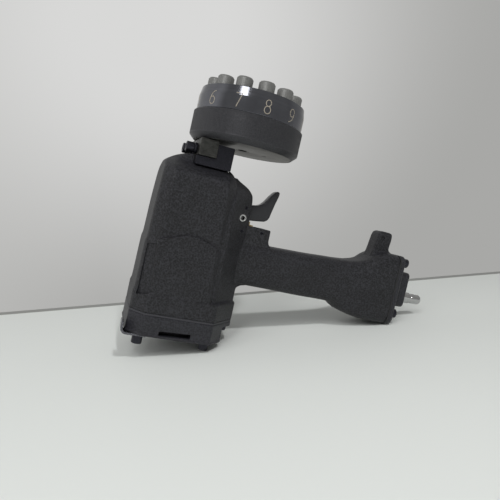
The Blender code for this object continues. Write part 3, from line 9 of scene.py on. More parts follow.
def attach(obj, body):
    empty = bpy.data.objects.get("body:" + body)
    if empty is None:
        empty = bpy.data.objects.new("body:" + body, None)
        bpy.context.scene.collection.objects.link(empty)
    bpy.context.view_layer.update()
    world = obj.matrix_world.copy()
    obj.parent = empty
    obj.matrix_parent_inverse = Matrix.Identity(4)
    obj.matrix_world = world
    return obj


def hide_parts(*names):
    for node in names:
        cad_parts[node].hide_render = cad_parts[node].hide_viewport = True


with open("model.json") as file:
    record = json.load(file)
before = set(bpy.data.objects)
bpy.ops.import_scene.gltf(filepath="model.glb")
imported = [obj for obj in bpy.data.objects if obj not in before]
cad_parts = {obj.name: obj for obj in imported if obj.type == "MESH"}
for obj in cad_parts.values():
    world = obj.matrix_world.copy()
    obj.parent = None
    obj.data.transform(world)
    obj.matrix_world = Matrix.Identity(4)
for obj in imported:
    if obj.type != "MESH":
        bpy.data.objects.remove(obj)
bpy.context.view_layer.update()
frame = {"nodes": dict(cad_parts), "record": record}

# The gun is worked out upright in its own frame, in millimetres: the cylinder's axis is Z and
# the handle runs along X. Every piece is then leaned as it stands on the table.
LEAN = math.radians(15.264672)
GUN_ORIGIN = (-133.70885, 0.0, 11.686898)
MM = 0.001
LEAN_TURN = np.array([[math.cos(LEAN), 0, math.sin(LEAN)], [0, 1, 0],
                      [-math.sin(LEAN), 0, math.cos(LEAN)]])

# Levels and sizes of the gun, in millimetres
HOUSING_Z = 30.4
HOUSING_LENGTH = 158.8
HALF_X = 41.5
HALF_Y = 46.5
CORNER = 14.0
CHAMBER_REACH = 66.5
CHAMBER_CORNER_X = 26.0
CHAMBER_CORNER_Y = 33.0
CAP_UNDER = 8.3
CAP_TOP = 28.8
BORE_RADIUS = 33.5
BORE_DEPTH = 122.0
NOSE_POCKET = 175.9
NOSE_STEP = 188.2
BRACKET_Z = 188.5
BRACKET_TOP = 205.8
PLATE_Z = 206.1
PLATE_TOP = 214.6
KNURLED_TOP = 235.1
RING_Z = 235.4
RING_TOP = 258.7
PUNCH_TOP = 269.3
TURRET_X = 42.0
PUNCH_COUNT = 12
PUNCH_CIRCLE = 42.0
PLATE_RADIUS = 51.3
RING_RADIUS = 55.5
KNURLED_RADIUS = 57.5
HANDLE_START = 50.0
HANDLE_Z = 91.0
HANDLE_HALF_WIDE = 19.0
HANDLE_HALF_TALL = 22.8
HANDLE_BORE = 12.5
FLANGE_X = 241.2
FLANGE_Z = 95.2
END_CAP_X = 242.8
END_FACE_X = 247.8
INLET_FACE_X = 265.2
INLET_Z = 87.5
FLANGE_HALF = 39.8
PIVOT = (52.0, 0.0, 138.0)
VALVE_X = 65.0
BLOCK_TOP = 131.0
PANEL_FACE = 45.75
SIDES = (("near", -1), ("far", 1))


def to_row_frame(points):
    """Millimetres in the gun's frame to metres in the row frame: turned by the lean about Y,
    then moved to the gun's origin."""
    return (np.asarray(points, float) @ LEAN_TURN.T + GUN_ORIGIN) * MM


# Shells. A shell is (points, quads, caps): quads is a face array and caps a list of rings.
def shell(grid, wrap_rows=False):
    """A closed skin over a grid of rings (rows, columns, 3). Row i and row i+1 are joined by
    quads, columns join round, and a flat cap closes each end unless the rows join round."""
    rows, columns = grid.shape[:2]
    r, c = np.meshgrid(np.arange(rows if wrap_rows else rows - 1), np.arange(columns),
                       indexing="ij")
    up, on = (r + 1) % rows, (c + 1) % columns
    quads = np.stack([r * columns + c, r * columns + on, up * columns + on,
                      up * columns + c], -1).reshape(-1, 4)
    ring = np.arange(columns)
    caps = [] if wrap_rows else [ring[::-1], ring + (rows - 1) * columns]
    points = grid.reshape(-1, 3).astype(float)
    middle = points.mean(0)
    a, b, d, e = (points[quads[:, k]] - middle for k in range(4))
    volume = (np.einsum("ij,ij->", np.cross(a, b), d) + np.einsum("ij,ij->", np.cross(a, d), e))
    for cap in caps:
        p = points[cap] - middle
        volume += np.einsum("ij,ij->", np.cross(p[:-1], p[1:]), np.broadcast_to(p.mean(0),
                                                                             p[1:].shape))
    if volume < 0:
        quads, caps = quads[:, ::-1], [cap[::-1] for cap in caps]
    return points, quads, caps


def mesh_of(name, shells):
    """One mesh from several shells, put in as whole arrays."""
    points, quads, caps, start = [], [], [], 0
    for p, q, rings in shells:
        points.append(p)
        quads.append(q + start)
        caps += [ring + start for ring in rings]
        start += len(p)
    points, quads = np.vstack(points), np.vstack(quads)
    loops = np.concatenate([quads.reshape(-1), *caps]) if caps else quads.reshape(-1)
    sizes = np.concatenate([np.full(len(quads), 4), [len(ring) for ring in caps]])
    mesh = bpy.data.meshes.new(name)
    mesh.vertices.add(len(points))
    mesh.vertices.foreach_set("co", points.astype(np.float32).reshape(-1))
    mesh.loops.add(len(loops))
    mesh.loops.foreach_set("vertex_index", loops.astype(np.int32))
    mesh.polygons.add(len(sizes))
    mesh.polygons.foreach_set("loop_start", (np.cumsum(sizes) - sizes).astype(np.int32))
    mesh.update(calc_edges=True)
    mesh.validate()
    return mesh


def hidden(name, shells):
    """A helper object in the gun's frame, for a modifier to read."""
    obj = bpy.data.objects.new(name, mesh_of(name, shells))
    bpy.context.scene.collection.objects.link(obj)
    obj.hide_render = True
    return obj


def evaluated_mesh(obj, name):
    """The helper's mesh with its modifiers worked in. The helper and its cutters are removed."""
    bpy.context.view_layer.update()
    graph = bpy.context.evaluated_depsgraph_get()
    mesh = bpy.data.meshes.new_from_object(obj.evaluated_get(graph))
    mesh.name = name
    cutters = [work.object for work in obj.modifiers if work.type == "BOOLEAN"]
    for spent in (obj, *cutters):
        bpy.data.objects.remove(spent)
    return mesh


def cast(shells, voxel, rounds):
    """Overlapping shells fused into one casting: a voxel skin, whose edges and inner corners a
    smoothing pass then rounds as a mould does."""
    obj = hidden("pattern", shells)
    skin = obj.modifiers.new("skin", "REMESH")
    skin.mode = "VOXEL"
    skin.voxel_size = voxel
    skin.use_smooth_shade = True
    ease = obj.modifiers.new("ease", "SMOOTH")
    ease.factor = 0.5
    ease.iterations = rounds
    return obj


def cut(obj, shells, operation="DIFFERENCE"):
    """Shells taken from a helper, or added to it. Within one cut they don't overlap."""
    work = obj.modifiers.new("cut", "BOOLEAN")
    work.operation = operation
    work.solver = "EXACT"
    work.object = hidden("tool", shells)


def piece(name, mesh, body, slot, *nodes, material=None, sharp=38.0):
    """A finished piece: its mesh is leaned into place, and its object stays at the origin. It
    has its slot's finish, unless it is given a finer one."""
    co = np.empty(len(mesh.vertices) * 3, np.float32)
    mesh.vertices.foreach_get("co", co)
    mesh.vertices.foreach_set("co", to_row_frame(co.reshape(-1, 3)).astype(np.float32).reshape(-1))
    mesh.update()
    mesh.shade_smooth()
    mesh.set_sharp_from_angle(angle=math.radians(sharp))
    obj = bpy.data.objects.new(name, mesh)
    bpy.context.scene.collection.objects.link(obj)
    mesh.materials.clear()
    mesh.materials.append(material or FINISHES[slot])
    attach(obj, body)
    if nodes:
        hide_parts(*nodes)


def made(name, shells, body, slot, *nodes, material=None):
    """A finished piece straight from its shells."""
    piece(name, mesh_of(name, shells), body, slot, *nodes, material=material)


# Outlines
def arcs(points, radius, steps=5):
    """A closed outline whose corners are replaced by arcs. Each arc is the rational quadratic
    through its two tangent points with the corner as control point, weighted by the sine of
    half the corner's inner angle, which is a circle's arc exactly."""
    p = np.asarray(points, float)
    radius = np.broadcast_to(np.asarray(radius, float), len(p))
    before, after = np.roll(p, 1, 0) - p, np.roll(p, -1, 0) - p
    lb, la = np.linalg.norm(before, axis=1), np.linalg.norm(after, axis=1)
    before, after = before / lb[:, None], after / la[:, None]
    half = np.arccos(np.clip((before * after).sum(1), -0.9999, 0.9999)) / 2
    reach = np.minimum(radius / np.tan(half), 0.49 * np.minimum(lb, la))
    start, end = p + before * reach[:, None], p + after * reach[:, None]
    t = np.linspace(0, 1, steps + 1)[None, :, None]
    w = np.sin(half)[:, None, None]
    top = ((1 - t) ** 2 * start[:, None] + 2 * w * t * (1 - t) * p[:, None]
           + t ** 2 * end[:, None])
    return (top / ((1 - t) ** 2 + 2 * w * t * (1 - t) + t ** 2)).reshape(-1, p.shape[1])


def inset(outline, distance):
    """A closed outline moved inwards along its mean normals."""
    ahead = np.roll(outline, -1, 0) - outline
    behind = outline - np.roll(outline, 1, 0)
    ahead /= np.maximum(np.linalg.norm(ahead, axis=1), 1e-9)[:, None]
    behind /= np.maximum(np.linalg.norm(behind, axis=1), 1e-9)[:, None]
    along = ahead + behind
    along /= np.maximum(np.linalg.norm(along, axis=1), 1e-9)[:, None]
    normal = np.stack([-along[:, 1], along[:, 0]], 1)
    x, y = outline[:, 0], outline[:, 1]
    area = (x * np.roll(y, -1) - np.roll(x, -1) * y).sum()
    stretch = 1 / np.maximum((along * ahead).sum(1), 0.6)
    return outline + normal * (distance * stretch * np.sign(area))[:, None]


# Where the two across values and the along value go, for each axis
AXES = {"X": (2, 0, 1), "Y": (0, 2, 1), "Z": (0, 1, 2)}


def slab(outline, low, high, axis="Y", edge=0.5, steps=4):
    """An outline carried along an axis from low to high. Near each end it draws in along a
    quarter circle, so that the edges are rounded."""
    outline = np.asarray(outline, float)
    t = np.linspace(0, math.pi / 2, steps + 1)
    draw = edge * (1 - np.sin(t))
    rise = edge * (1 - np.cos(t))
    draws = np.concatenate([draw, draw[::-1]])
    levels = np.concatenate([low + rise, high - rise[::-1]])
    if edge == 0:
        draws, levels = np.zeros(2), np.array([low, high])
    flat = np.stack([inset(outline, d) if d else outline for d in draws])
    grid = np.concatenate([flat, np.broadcast_to(levels[:, None, None], (*flat.shape[:2], 1))],
                          2)
    return shell(grid[:, :, AXES[axis]])


def rounded_box(low, high, corner, edge=0.0):
    """A box between two corners, with its four edges along Y rounded, and its ends if asked."""
    (x0, y0, z0), (x1, y1, z1) = low, high
    outline = arcs([(x0, z0), (x1, z0), (x1, z1), (x0, z1)], corner, 4)
    return slab(outline, y0, y1, "Y", edge)


def turned(profile, steps=96, at=(0, 0, 0), axis="Z", closed=False):
    """A profile of (radius, height) turned about an axis: with the angle a, the point is
    radius times (cos a, sin a) across and height along. A closed profile is a ring's section."""
    profile = np.asarray(profile, float)
    a = np.linspace(0, 2 * math.pi, steps, endpoint=False)
    across = profile[:, None, 0] * np.cos(a), profile[:, None, 0] * np.sin(a)
    along = np.broadcast_to(profile[:, None, 1], across[0].shape)
    grid = np.stack([*across, along], -1)[:, :, AXES[axis]] + np.asarray(at, float)
    return shell(grid, closed)


def rod(radius, low, high, at=(0, 0, 0), axis="Z", steps=48):
    return turned([(radius, low), (radius, high)], steps, at, axis)


def tube(path, out, half_width, height, sides=10):
    """A flattened tube along a path: its section is an ellipse, half_width across the path and
    height along the outward direction at each point."""
    path, out = np.asarray(path, float), np.asarray(out, float)
    along = np.gradient(path, axis=0)
    along /= np.linalg.norm(along, axis=1)[:, None]
    side = np.cross(along, out)
    side /= np.linalg.norm(side, axis=1)[:, None]
    a = np.linspace(0, 2 * math.pi, sides, endpoint=False)
    grid = (path[:, None] + side[:, None] * (half_width * np.cos(a))[None, :, None]
            + out[:, None] * (height * np.sin(a))[None, :, None])
    return shell(grid)


def eased(table, heights):
    """Columns of a table read at any height: a cubic between rows with slopes limited so that
    it never overshoots them (Fritsch and Carlson)."""
    table = np.asarray(table, float)
    x, y = table[:, 0], table[:, 1:]
    h = np.diff(x)[:, None]
    slope = np.diff(y, axis=0) / h
    inner = np.where(slope[:-1] * slope[1:] > 0,
                     2 * slope[:-1] * slope[1:] / np.where(slope[:-1] + slope[1:] == 0, 1,
                                                           slope[:-1] + slope[1:]), 0)
    m = np.vstack([slope[:1], inner, slope[-1:]])
    i = np.clip(np.searchsorted(x, heights) - 1, 0, len(h) - 1)
    t = ((heights - x[i]) / h[i, 0])[:, None]
    return (y[i] * (1 + 2 * t) * (1 - t) ** 2 + m[i] * h[i] * t * (1 - t) ** 2
            + y[i + 1] * t ** 2 * (3 - 2 * t) + m[i + 1] * h[i] * t ** 2 * (t - 1))


# Materials
def linear(code):
    """A colour written as sRGB hex, as linear values."""
    c = np.array([int(code[i:i + 2], 16) for i in (1, 3, 5)]) / 255
    value = np.where(c <= 0.04045, c / 12.92, ((c + 0.055) / 1.055) ** 2.4)
    return (*(float(v) for v in value), 1.0)


def add(tree, kind, inputs=None, **settings):
    """A node with its settings, and its inputs set or linked."""
    item = tree.nodes.new(kind)
    for key, value in settings.items():
        setattr(item, key, value)
    for key, value in (inputs or {}).items():
        if isinstance(value, bpy.types.NodeSocket):
            tree.links.new(value, item.inputs[key])
        else:
            item.inputs[key].default_value = value
    return item


def finish(name, colour, metallic, roughness, **inputs):
    """A new material: its tree and its shader."""
    material = bpy.data.materials.new(name)
    material.use_nodes = True
    tree = material.node_tree
    shader = tree.nodes["Principled BSDF"]
    shader.inputs["Base Color"].default_value = linear(colour)
    shader.inputs["Metallic"].default_value = metallic
    shader.inputs["Roughness"].default_value = roughness
    for key, value in inputs.items():
        shader.inputs[key.replace("_", " ")].default_value = value
    return material, tree, shader


def place_pattern(tree, centre=(0, 0, 0)):
    """Object coordinates in metres, centred on a point of the gun and turned to its frame."""
    where = add(tree, "ShaderNodeTexCoord")
    moved = add(tree, "ShaderNodeVectorMath", {0: where.outputs["Object"],
                                               1: tuple(to_row_frame(centre))},
                operation="SUBTRACT")
    return add(tree, "ShaderNodeMapping", {"Vector": moved.outputs[0],
                                           "Rotation": (0, -LEAN, 0)}).outputs[0]


def noise(tree, vector, size_mm, detail=2.0, rough=0.5):
    """Noise whose grain is about size_mm across."""
    return add(tree, "ShaderNodeTexNoise", {"Vector": vector, "Scale": 1 / (size_mm * MM),
                                            "Detail": detail, "Roughness": rough}).outputs[0]


def sums(tree, operation, *values):
    """A math node's output, worked from values or from other nodes' outputs."""
    return add(tree, "ShaderNodeMath", dict(enumerate(values)), operation=operation).outputs[0]


def between(tree, value, low, high, to_low, to_high, **settings):
    """A value moved from one range to another and kept inside it."""
    return add(tree, "ShaderNodeMapRange", {"Value": value, "From Min": low, "From Max": high,
                                            "To Min": to_low, "To Max": to_high},
               **settings).outputs[0]


def mixed(tree, share, first, second):
    """A mix of two colours, each of them a hex code or a node's output."""
    first, second = (linear(c) if isinstance(c, str) else c for c in (first, second))
    return add(tree, "ShaderNodeMix", {0: share, 6: first, 7: second},
               data_type="RGBA").outputs[2]


def worked(tree, shader, colour, rough, height, depth_mm, strength):
    """A shader's colour and roughness driven by nodes, and its bump by a height. Without rough
    its roughness stays even."""
    tree.links.new(colour, shader.inputs["Base Color"])
    if rough:
        tree.links.new(rough, shader.inputs["Roughness"])
    bump = add(tree, "ShaderNodeBump", {"Height": height, "Distance": depth_mm * MM,
                                        "Strength": strength})
    tree.links.new(bump.outputs[0], shader.inputs["Normal"])


def wrinkle_coat(name, dark, light, grain_mm, depth_mm, roughness):
    """Black wrinkle lacquer baked on cast aluminium: a leathery skin of small ridges, matt, with
    paler crests where light catches them and a slow unevenness of tone from the spraying."""
    material, tree, shader = finish(name, dark, 0.0, roughness, IOR=1.5, Specular_IOR_Level=0.42)
    spot = place_pattern(tree)
    cells = add(tree, "ShaderNodeTexVoronoi", {"Vector": spot, "Scale": 1 / (grain_mm * MM),
                                               "Randomness": 1.0}, feature="SMOOTH_F1")
    fine = noise(tree, spot, grain_mm * 0.8, 3.0, 0.6)
    crest = sums(tree, "ADD", cells.outputs[0], fine)
    lifted = sums(tree, "MULTIPLY_ADD", noise(tree, spot, 30.0), 0.25, crest)
    share = between(tree, lifted, 0.80, 1.30, 0.0, 1.0)
    worked(tree, shader, mixed(tree, share, dark, light), None, crest, depth_mm, 1.0)
    return material


def turned_metal(name, dark, light, roughness, pitch_mm, depth_mm, metallic=1.0):
    """Steel turned on a lathe: fine rings round the turret's axis, drawn at a pitch that the
    render can show, over slow patches of tone."""
    material, tree, shader = finish(name, dark, metallic, roughness)
    spot = place_pattern(tree, (TURRET_X, 0.0, PLATE_Z))
    parts = add(tree, "ShaderNodeSeparateXYZ", {0: spot}).outputs
    flat = add(tree, "ShaderNodeCombineXYZ", {0: parts[0], 1: parts[1]})
    away = add(tree, "ShaderNodeVectorMath", {0: flat.outputs[0]}, operation="LENGTH")
    lined = add(tree, "ShaderNodeCombineXYZ", {0: away.outputs["Value"], 2: parts[2]})
    rings = noise(tree, lined.outputs[0], pitch_mm, 2.0, 0.7)
    share = between(tree, sums(tree, "ADD", rings, noise(tree, spot, 14.0)), 0.7, 1.3, 0.0, 1.0)
    rough = between(tree, rings, 0.3, 0.7, roughness * 0.8, roughness * 1.25)
    worked(tree, shader, mixed(tree, share, dark, light), rough, rings, depth_mm, 0.6)
    return material


def grained(name, dark, light, metallic, roughness, grain_mm, depth_mm, **inputs):
    """A metal or rubber with a fine even grain: tone, roughness and height follow one noise."""
    material, tree, shader = finish(name, dark, metallic, roughness, **inputs)
    grain = noise(tree, place_pattern(tree), grain_mm, 3.0, 0.6)
    share = between(tree, grain, 0.3, 0.7, 0.0, 1.0)
    rough = between(tree, grain, 0.3, 0.7, roughness * 0.85, roughness * 1.15)
    worked(tree, shader, mixed(tree, share, dark, light), rough, grain, depth_mm, 0.7)
    return material


def milled(name, dark, light, roughness):
    """Mild steel milled and left grey: crossed cutter marks and darker oxide patches."""
    material, tree, shader = finish(name, dark, 0.9, roughness)
    spot = place_pattern(tree)
    long_marks = add(tree, "ShaderNodeVectorMath", {0: spot, 1: (0.12, 0.12, 1.0)},
                     operation="MULTIPLY")
    marks = noise(tree, long_marks.outputs[0], 0.7, 2.0, 0.7)
    patch = noise(tree, spot, 5.0, 3.0, 0.6)
    share = between(tree, sums(tree, "ADD", marks, patch), 0.75, 1.25, 0.0, 1.0)
    rough = between(tree, patch, 0.3, 0.7, roughness * 0.8, roughness * 1.3)
    worked(tree, shader, mixed(tree, share, dark, light), rough, marks, 0.03, 0.7)
    return material


FINISHES = {
    # Black wrinkle lacquer on cast aluminium: matt, leathery, greyer where it faces the light
    "cast_black": wrinkle_coat("wrinkle_lacquer_on_cast_aluminium", "#0f0f11", "#2a2a2e",
                               1.6, 0.22, 0.55),
    # The same lacquer sprayed thinner on the caps: a finer and slightly glossier skin
    "cap_black": wrinkle_coat("thin_lacquer_on_cast_caps", "#18181c", "#2b2b30", 1.5, 0.10,
                              0.50),
    # Black oxide on alloy steel screws: near black with a low sheen
    "black_oxide": grained("black_oxide_on_steel", "#2a2a2f", "#3a3a42", 0.8, 0.34, 1.0,
                           0.01),
    # Phosphated and oiled steel: a soft dark grey
    "turret_steel": turned_metal("dark_turned_steel", "#2c2c2e", "#3c3c3f", 0.42, 0.5, 0.01,
                                 0.85),
    # Hot-blued steel, ground and polished: a dark mirror with faint grinding rings
    "blued_steel": turned_metal("blued_polished_steel", "#66676d", "#76777d", 0.14, 0.5, 0.003),
    # Hardened tool steel as quenched: a dry grey-brown skin
    "punch_steel": grained("hardened_tool_steel", "#727271", "#888886", 0.6, 0.5, 0.9, 0.02),
    # Mild steel faced on a lathe: pale grey, fine rings
    "brushed_plate": turned_metal("faced_mild_steel", "#5e5d5a", "#82817e", 0.42, 0.9, 0.03),
    # Mild steel as it comes from the mill: olive grey, with crossed marks
    "bracket_steel": milled("milled_mild_steel", "#3a3a38", "#545452", 0.42),
    # Nickel-plated steel: pale and bright
    "bright_steel": grained("nickel_plated_steel", "#b0b0b0", "#c4c4c4", 1.0, 0.08, 2.0,
                            0.002),
    # Turned brass, slightly dulled
    "brass": grained("turned_brass", "#a8905a", "#c0a66c", 1.0, 0.32, 0.8, 0.01),
    # Bare turned aluminium
    "aluminium": grained("turned_aluminium", "#a4a6a8", "#bcbec0", 1.0, 0.4, 0.8, 0.01),
    # Nitrile rubber: dull black
    "rubber": grained("nitrile_rubber", "#1d1d1e", "#28282a", 0.0, 0.7, 0.8, 0.02, IOR=1.52),
    # Hard-drawn spring wire
    "spring_steel": grained("spring_wire", "#8a8a8c", "#a2a2a4", 1.0, 0.3, 0.6, 0.005),
    # Smooth black enamel on a pressed steel trigger
    "trigger_black": grained("black_enamel_on_steel", "#1a1a1d", "#232327", 0.0, 0.36, 1.2,
                             0.015, IOR=1.5),
}
# Pale paint rubbed into engraved strokes: matt and warm grey
STROKE_PAINT = grained("paint_in_engraving", "#7f776b", "#989084", 0.0, 0.6, 0.5, 0.01)
# Diamond knurling on the dark steel, whose crests are rubbed brighter by hands
KNURL_STEEL = grained("knurled_dark_steel", "#303033", "#424245", 0.5, 0.40, 1.2, 0.01)
# The clip's oxide is worn through to bare spring steel
CLIP_STEEL = grained("worn_oxide_on_spring_strip", "#54545a", "#7c7c82", 0.95, 0.26, 1.4, 0.01)
# Fibre seal, a shade paler than the castings, so that the seam between them shows as a faint light
# line
SEAL_GREY = grained("fibre_seal", "#2c2c30", "#38383c", 0.0, 0.6, 0.8, 0.02, IOR=1.5)
# The axle's foot is faced with the plate it fills: the same turned grey, a shade brighter
FOOT_STEEL = turned_metal("faced_axle_foot", "#6a6967", "#8c8b88", 0.40, 0.9, 0.03)


# The casting's lofts. Each row is a share of the length, then shares of the sizes there.
# Casing: share of its length, left reach, right reach, depth, corners
CASING = (
    (0.000, 1.00, 1.11, 1.00, 1.00), (0.116, 1.00, 1.11, 1.00, 1.00),
    (0.126, 0.975, 1.05, 0.96, 0.92), (0.426, 0.95, 1.03, 0.955, 0.88),
    (0.440, 0.93, 0.99, 0.925, 0.80), (0.656, 0.908, 0.94, 0.92, 0.74),
    (0.800, 0.882, 0.90, 0.912, 0.69), (0.865, 0.868, 0.88, 0.86, 0.66),
    (0.900, 0.855, 0.87, 0.72, 0.62), (0.925, 0.84, 0.86, 0.53, 0.58),
    (0.957, 0.70, 0.74, 0.35, 0.48), (0.985, 0.50, 0.56, 0.33, 0.38),
    (1.000, 0.34, 0.45, 0.32, 0.34),
)
# Air chamber: share of the casing's length, reach, depth, corners along X, corners along Y
CHAMBER = (
    (0.000, 1.00, 1.00, 1.00, 1.00), (0.116, 1.00, 1.00, 1.00, 1.00),
    (0.126, 0.967, 0.90, 1.00, 0.875), (0.450, 0.962, 0.86, 1.00, 0.833),
    (0.760, 0.938, 0.76, 0.92, 0.706), (0.823, 0.919, 0.68, 0.865, 0.606),
    (0.865, 0.839, 0.60, 0.75, 0.512), (0.908, 0.651, 0.49, 0.52, 0.375),
    (0.923, 0.603, 0.45, 0.42, 0.30), (0.938, 0.586, 0.42, 0.38, 0.26),
    (0.957, 0.496, 0.40, 0.34, 0.23), (0.985, 0.45, 0.36, 0.25, 0.18),
)
# Handle: share of its length, height, width, rise of its middle, squareness
HANDLE = (
    (0.000, 1.00, 1.00, 0.00, 0.30), (0.157, 1.00, 1.00, 0.00, 0.30),
    (0.424, 1.035, 0.97, 0.02, 0.30), (0.617, 1.068, 0.98, 0.226, 0.32),
    (0.659, 1.092, 1.00, 0.21, 0.33), (0.701, 1.215, 1.06, -0.31, 0.38),
    (0.732, 1.283, 1.12, -0.536, 0.43), (0.779, 1.375, 1.21, -0.56, 0.50),
    (0.821, 1.469, 1.29, -0.357, 0.56), (0.858, 1.605, 1.36, 0.214, 0.62),
    (0.900, 1.71, 1.42, 0.714, 0.68), (0.941, 1.754, 1.46, 0.952, 0.72),
    (1.000, 1.746, 1.474, 1.00, 0.75),
)
# Side outlines. The trigger's and the lug's are in shares of their length and height, and the
# panel's is in the gun's millimetres.
TRIGGER = (
    (-0.165, -0.08), (-0.165, 0.10), (-0.08, 0.20), (0.21, 0.21), (0.30, 0.43),
    (0.46, 0.45), (0.57, 0.51), (0.66, 0.62), (0.76, 0.80), (0.86, 0.94), (0.94, 1.00),
    (1.00, 0.97), (0.995, 0.86), (0.94, 0.62), (0.885, 0.33), (0.86, 0.17),
    (0.82, 0.08), (0.74, 0.02), (0.56, -0.01), (0.33, -0.04), (0.13, -0.12), (-0.05, -0.18),
)
PANEL = (
    (-25.6, 46.0), (-29.4, 101.6), (-24.2, 103.6), (-12.5, 107.3), (-0.7, 111.0), (9.2, 110.6),
    (19.8, 107.6), (28.3, 104.4), (33.3, 50.5), (31.0, 46.0),
)
LUG = (
    (-2.10, -0.02), (-1.54, 0.13), (-1.21, 0.39), (-0.96, 0.85), (-0.79, 0.96), (-0.46, 1.00),
    (0.71, 0.99), (0.96, 0.95), (1.00, 0.80), (0.92, 0.49), (1.46, 0.39), (1.46, 0.00),
)


def octagon_skin(left, right, depth, corner_x, corner_y, levels, square_left=False):
    """Rings with eight corners, rounded, one at each level: the two beside the left face by
    10 mm, the others by 2.5 mm. The corner sizes are given per row. With square_left the left
    corners are kept square inside another shell."""
    round_by = np.full(8, 2.5)
    cx = cy = np.full(len(levels), 1.0)
    if not square_left:
        cx, cy = corner_x, corner_y
        round_by[[0, 7]] = 10.0
    corners = np.stack([
        np.stack([-left, -depth + cy], 1), np.stack([-left + cx, -depth], 1),
        np.stack([right - corner_x, -depth], 1), np.stack([right, -depth + corner_y], 1),
        np.stack([right, depth - corner_y], 1), np.stack([right - corner_x, depth], 1),
        np.stack([-left + cx, depth], 1), np.stack([-left, depth - cy], 1)], 1)
    rings = [np.column_stack([arcs(ring, round_by, 5), np.full(48, z)])
             for ring, z in zip(corners, levels)]
    return shell(np.stack(rings))


def casing_skin():
    share = np.linspace(0, 1, 110)
    left, right, depth, corner = eased(CASING, share).T
    return octagon_skin(HALF_X * left, HALF_X * right, HALF_Y * depth, CORNER * corner,
                        CORNER * corner, HOUSING_Z + HOUSING_LENGTH * share)


def chamber_skin():
    share = np.linspace(0, 0.985, 110)
    reach, depth, corner_x, corner_y = eased(CHAMBER, share).T
    return octagon_skin(0 * reach, CHAMBER_REACH * reach, HALF_Y * depth,
                        CHAMBER_CORNER_X * corner_x, CHAMBER_CORNER_Y * corner_y,
                        HOUSING_Z + HOUSING_LENGTH * share, square_left=True)


def handle_skin():
    """Superellipses along the handle: each ring is cos and sin of its angle to a power that
    runs from 1, an ellipse, towards 0, a box."""
    share = np.linspace(0, 1, 120)
    tall, wide, lift, square = eased(HANDLE, share).T[:, :, None]
    a = (np.linspace(0, 2 * math.pi, 72, endpoint=False) + 0.04)[None]
    power = 2 / (2 + 6 * square)
    c, s = np.cos(a), np.sin(a)
    x = np.broadcast_to((HANDLE_START + (FLANGE_X - HANDLE_START) * share)[:, None], (120, 72))
    y = np.sign(c) * np.abs(c) ** power * HANDLE_HALF_WIDE * wide
    z = (HANDLE_Z + (FLANGE_Z - HANDLE_Z) * lift
         + np.sign(s) * np.abs(s) ** power * HANDLE_HALF_TALL * tall)
    return shell(np.stack([x, y, z], -1))


def about_axis(skin, degrees):
    """A shell turned about the cylinder's axis."""
    points, quads, caps = skin
    c, t = math.cos(math.radians(degrees)), math.sin(math.radians(degrees))
    return points @ np.array([[c, t, 0], [-t, c, 0], [0, 0, 1]]), quads, caps


def recess_skin(side):
    """The shallow recess in the chamfer beside the left face, with a ledge at its foot. Its
    floor lies 49.55 mm from the cylinder's axis and faces 40 degrees off the near face."""
    outline = arcs([(-6.2, 45.2), (8.5, 48.9), (8.5, 98.0), (-6.2, 95.0)], [1, 1, 2, 2], 4)
    low, high = sorted((side * 49.55, side * 60.0))
    return about_axis(slab(outline, low, high, "Y", 0.0), 40 * side)


def make_panels():
    """A raised panel on each side: its outline has a curved top edge and rounded corners, and
    its own edge is rounded by 1.7 mm so that it catches the light as a thin line."""
    outline = arcs(PANEL, [1, 2.5, 8, 12, 14, 12, 12, 3, 3, 1], 5)
    for tag, side in SIDES:
        low, high = sorted((side * PANEL_FACE, side * 39.0))
        made(f"side_panel_{tag}", [slab(outline, low, high, "Y", 1.7, 6)], "gun", "cast_black",
             "main_housing")


def fillet_skin():
    """The round corner under the handle, against the air chamber."""
    left, low, r = CHAMBER_REACH * 0.94, HANDLE_Z - HANDLE_HALF_TALL, 11.0
    t = np.linspace(0, math.pi / 2, 9)
    arc = np.column_stack([left + r - r * np.cos(t), low - r + r * np.sin(t)])
    outline = np.vstack([arc, [(left + r, low + r), (left - r, low + r), (left - r, low - r)]])
    return slab(outline, -11.4, 11.4, "Y", 0.0)


def block_skin():
    outline = arcs([(43.5, HANDLE_Z), (92, HANDLE_Z), (92, 113.5), (89, 116), (88, 119.5),
                    (88, BLOCK_TOP), (43.5, BLOCK_TOP)], [0.5, 0.5, 2, 2, 3, 1.2, 0.5], 4)
    return slab(outline, -14.5, 14.5, "Y", 1.0)


def lug_skin():
    base = FLANGE_Z + FLANGE_HALF * 0.6
    outline = arcs([(225.6 + 9.2 * u, base + (158 - base) * v) for u, v in LUG], 2.5, 4)
    return slab(outline, -9, 9, "Y", 1.2)


# Cap screws: name, X, Y, the head's seat, the shank's length
SCREWS = (
    ("near_left", -28.0, -33.0, CAP_UNDER - 2.9, 42.0),
    ("far_left", -28.0, 33.0, CAP_UNDER - 0.3, 42.0),
    ("near_right", 38.0, -33.0, CAP_UNDER - 0.3, 42.0),
    ("far_right", 38.0, 33.0, CAP_UNDER - 0.3, 42.0),
    ("front", 61.3, 0.0, CAP_UNDER + 15.2, 21.0),
)
# Screws of the handle's end: name, Y, Z
END_SCREWS = (
    ("upper_near", -19.5, 127.8), ("upper_far", 19.5, 127.8),
    ("lower_near", -19.5, 69.0), ("lower_far", 19.5, 69.0),
)
BRACKET_SCREW_Y = 12.2
BRACKET_SCREW_Z = BRACKET_TOP - 10.5
# Radii of the holes that the M6 and M5 screws pass
M6_HOLE = 3.3
M5_HOLE = 2.8
# Roll pins: X, Z, half length
PINS = ((54.5, 148.5, 20.3), (54.5, 124.5, 22.3), (78.5, 126.2, 14.6))


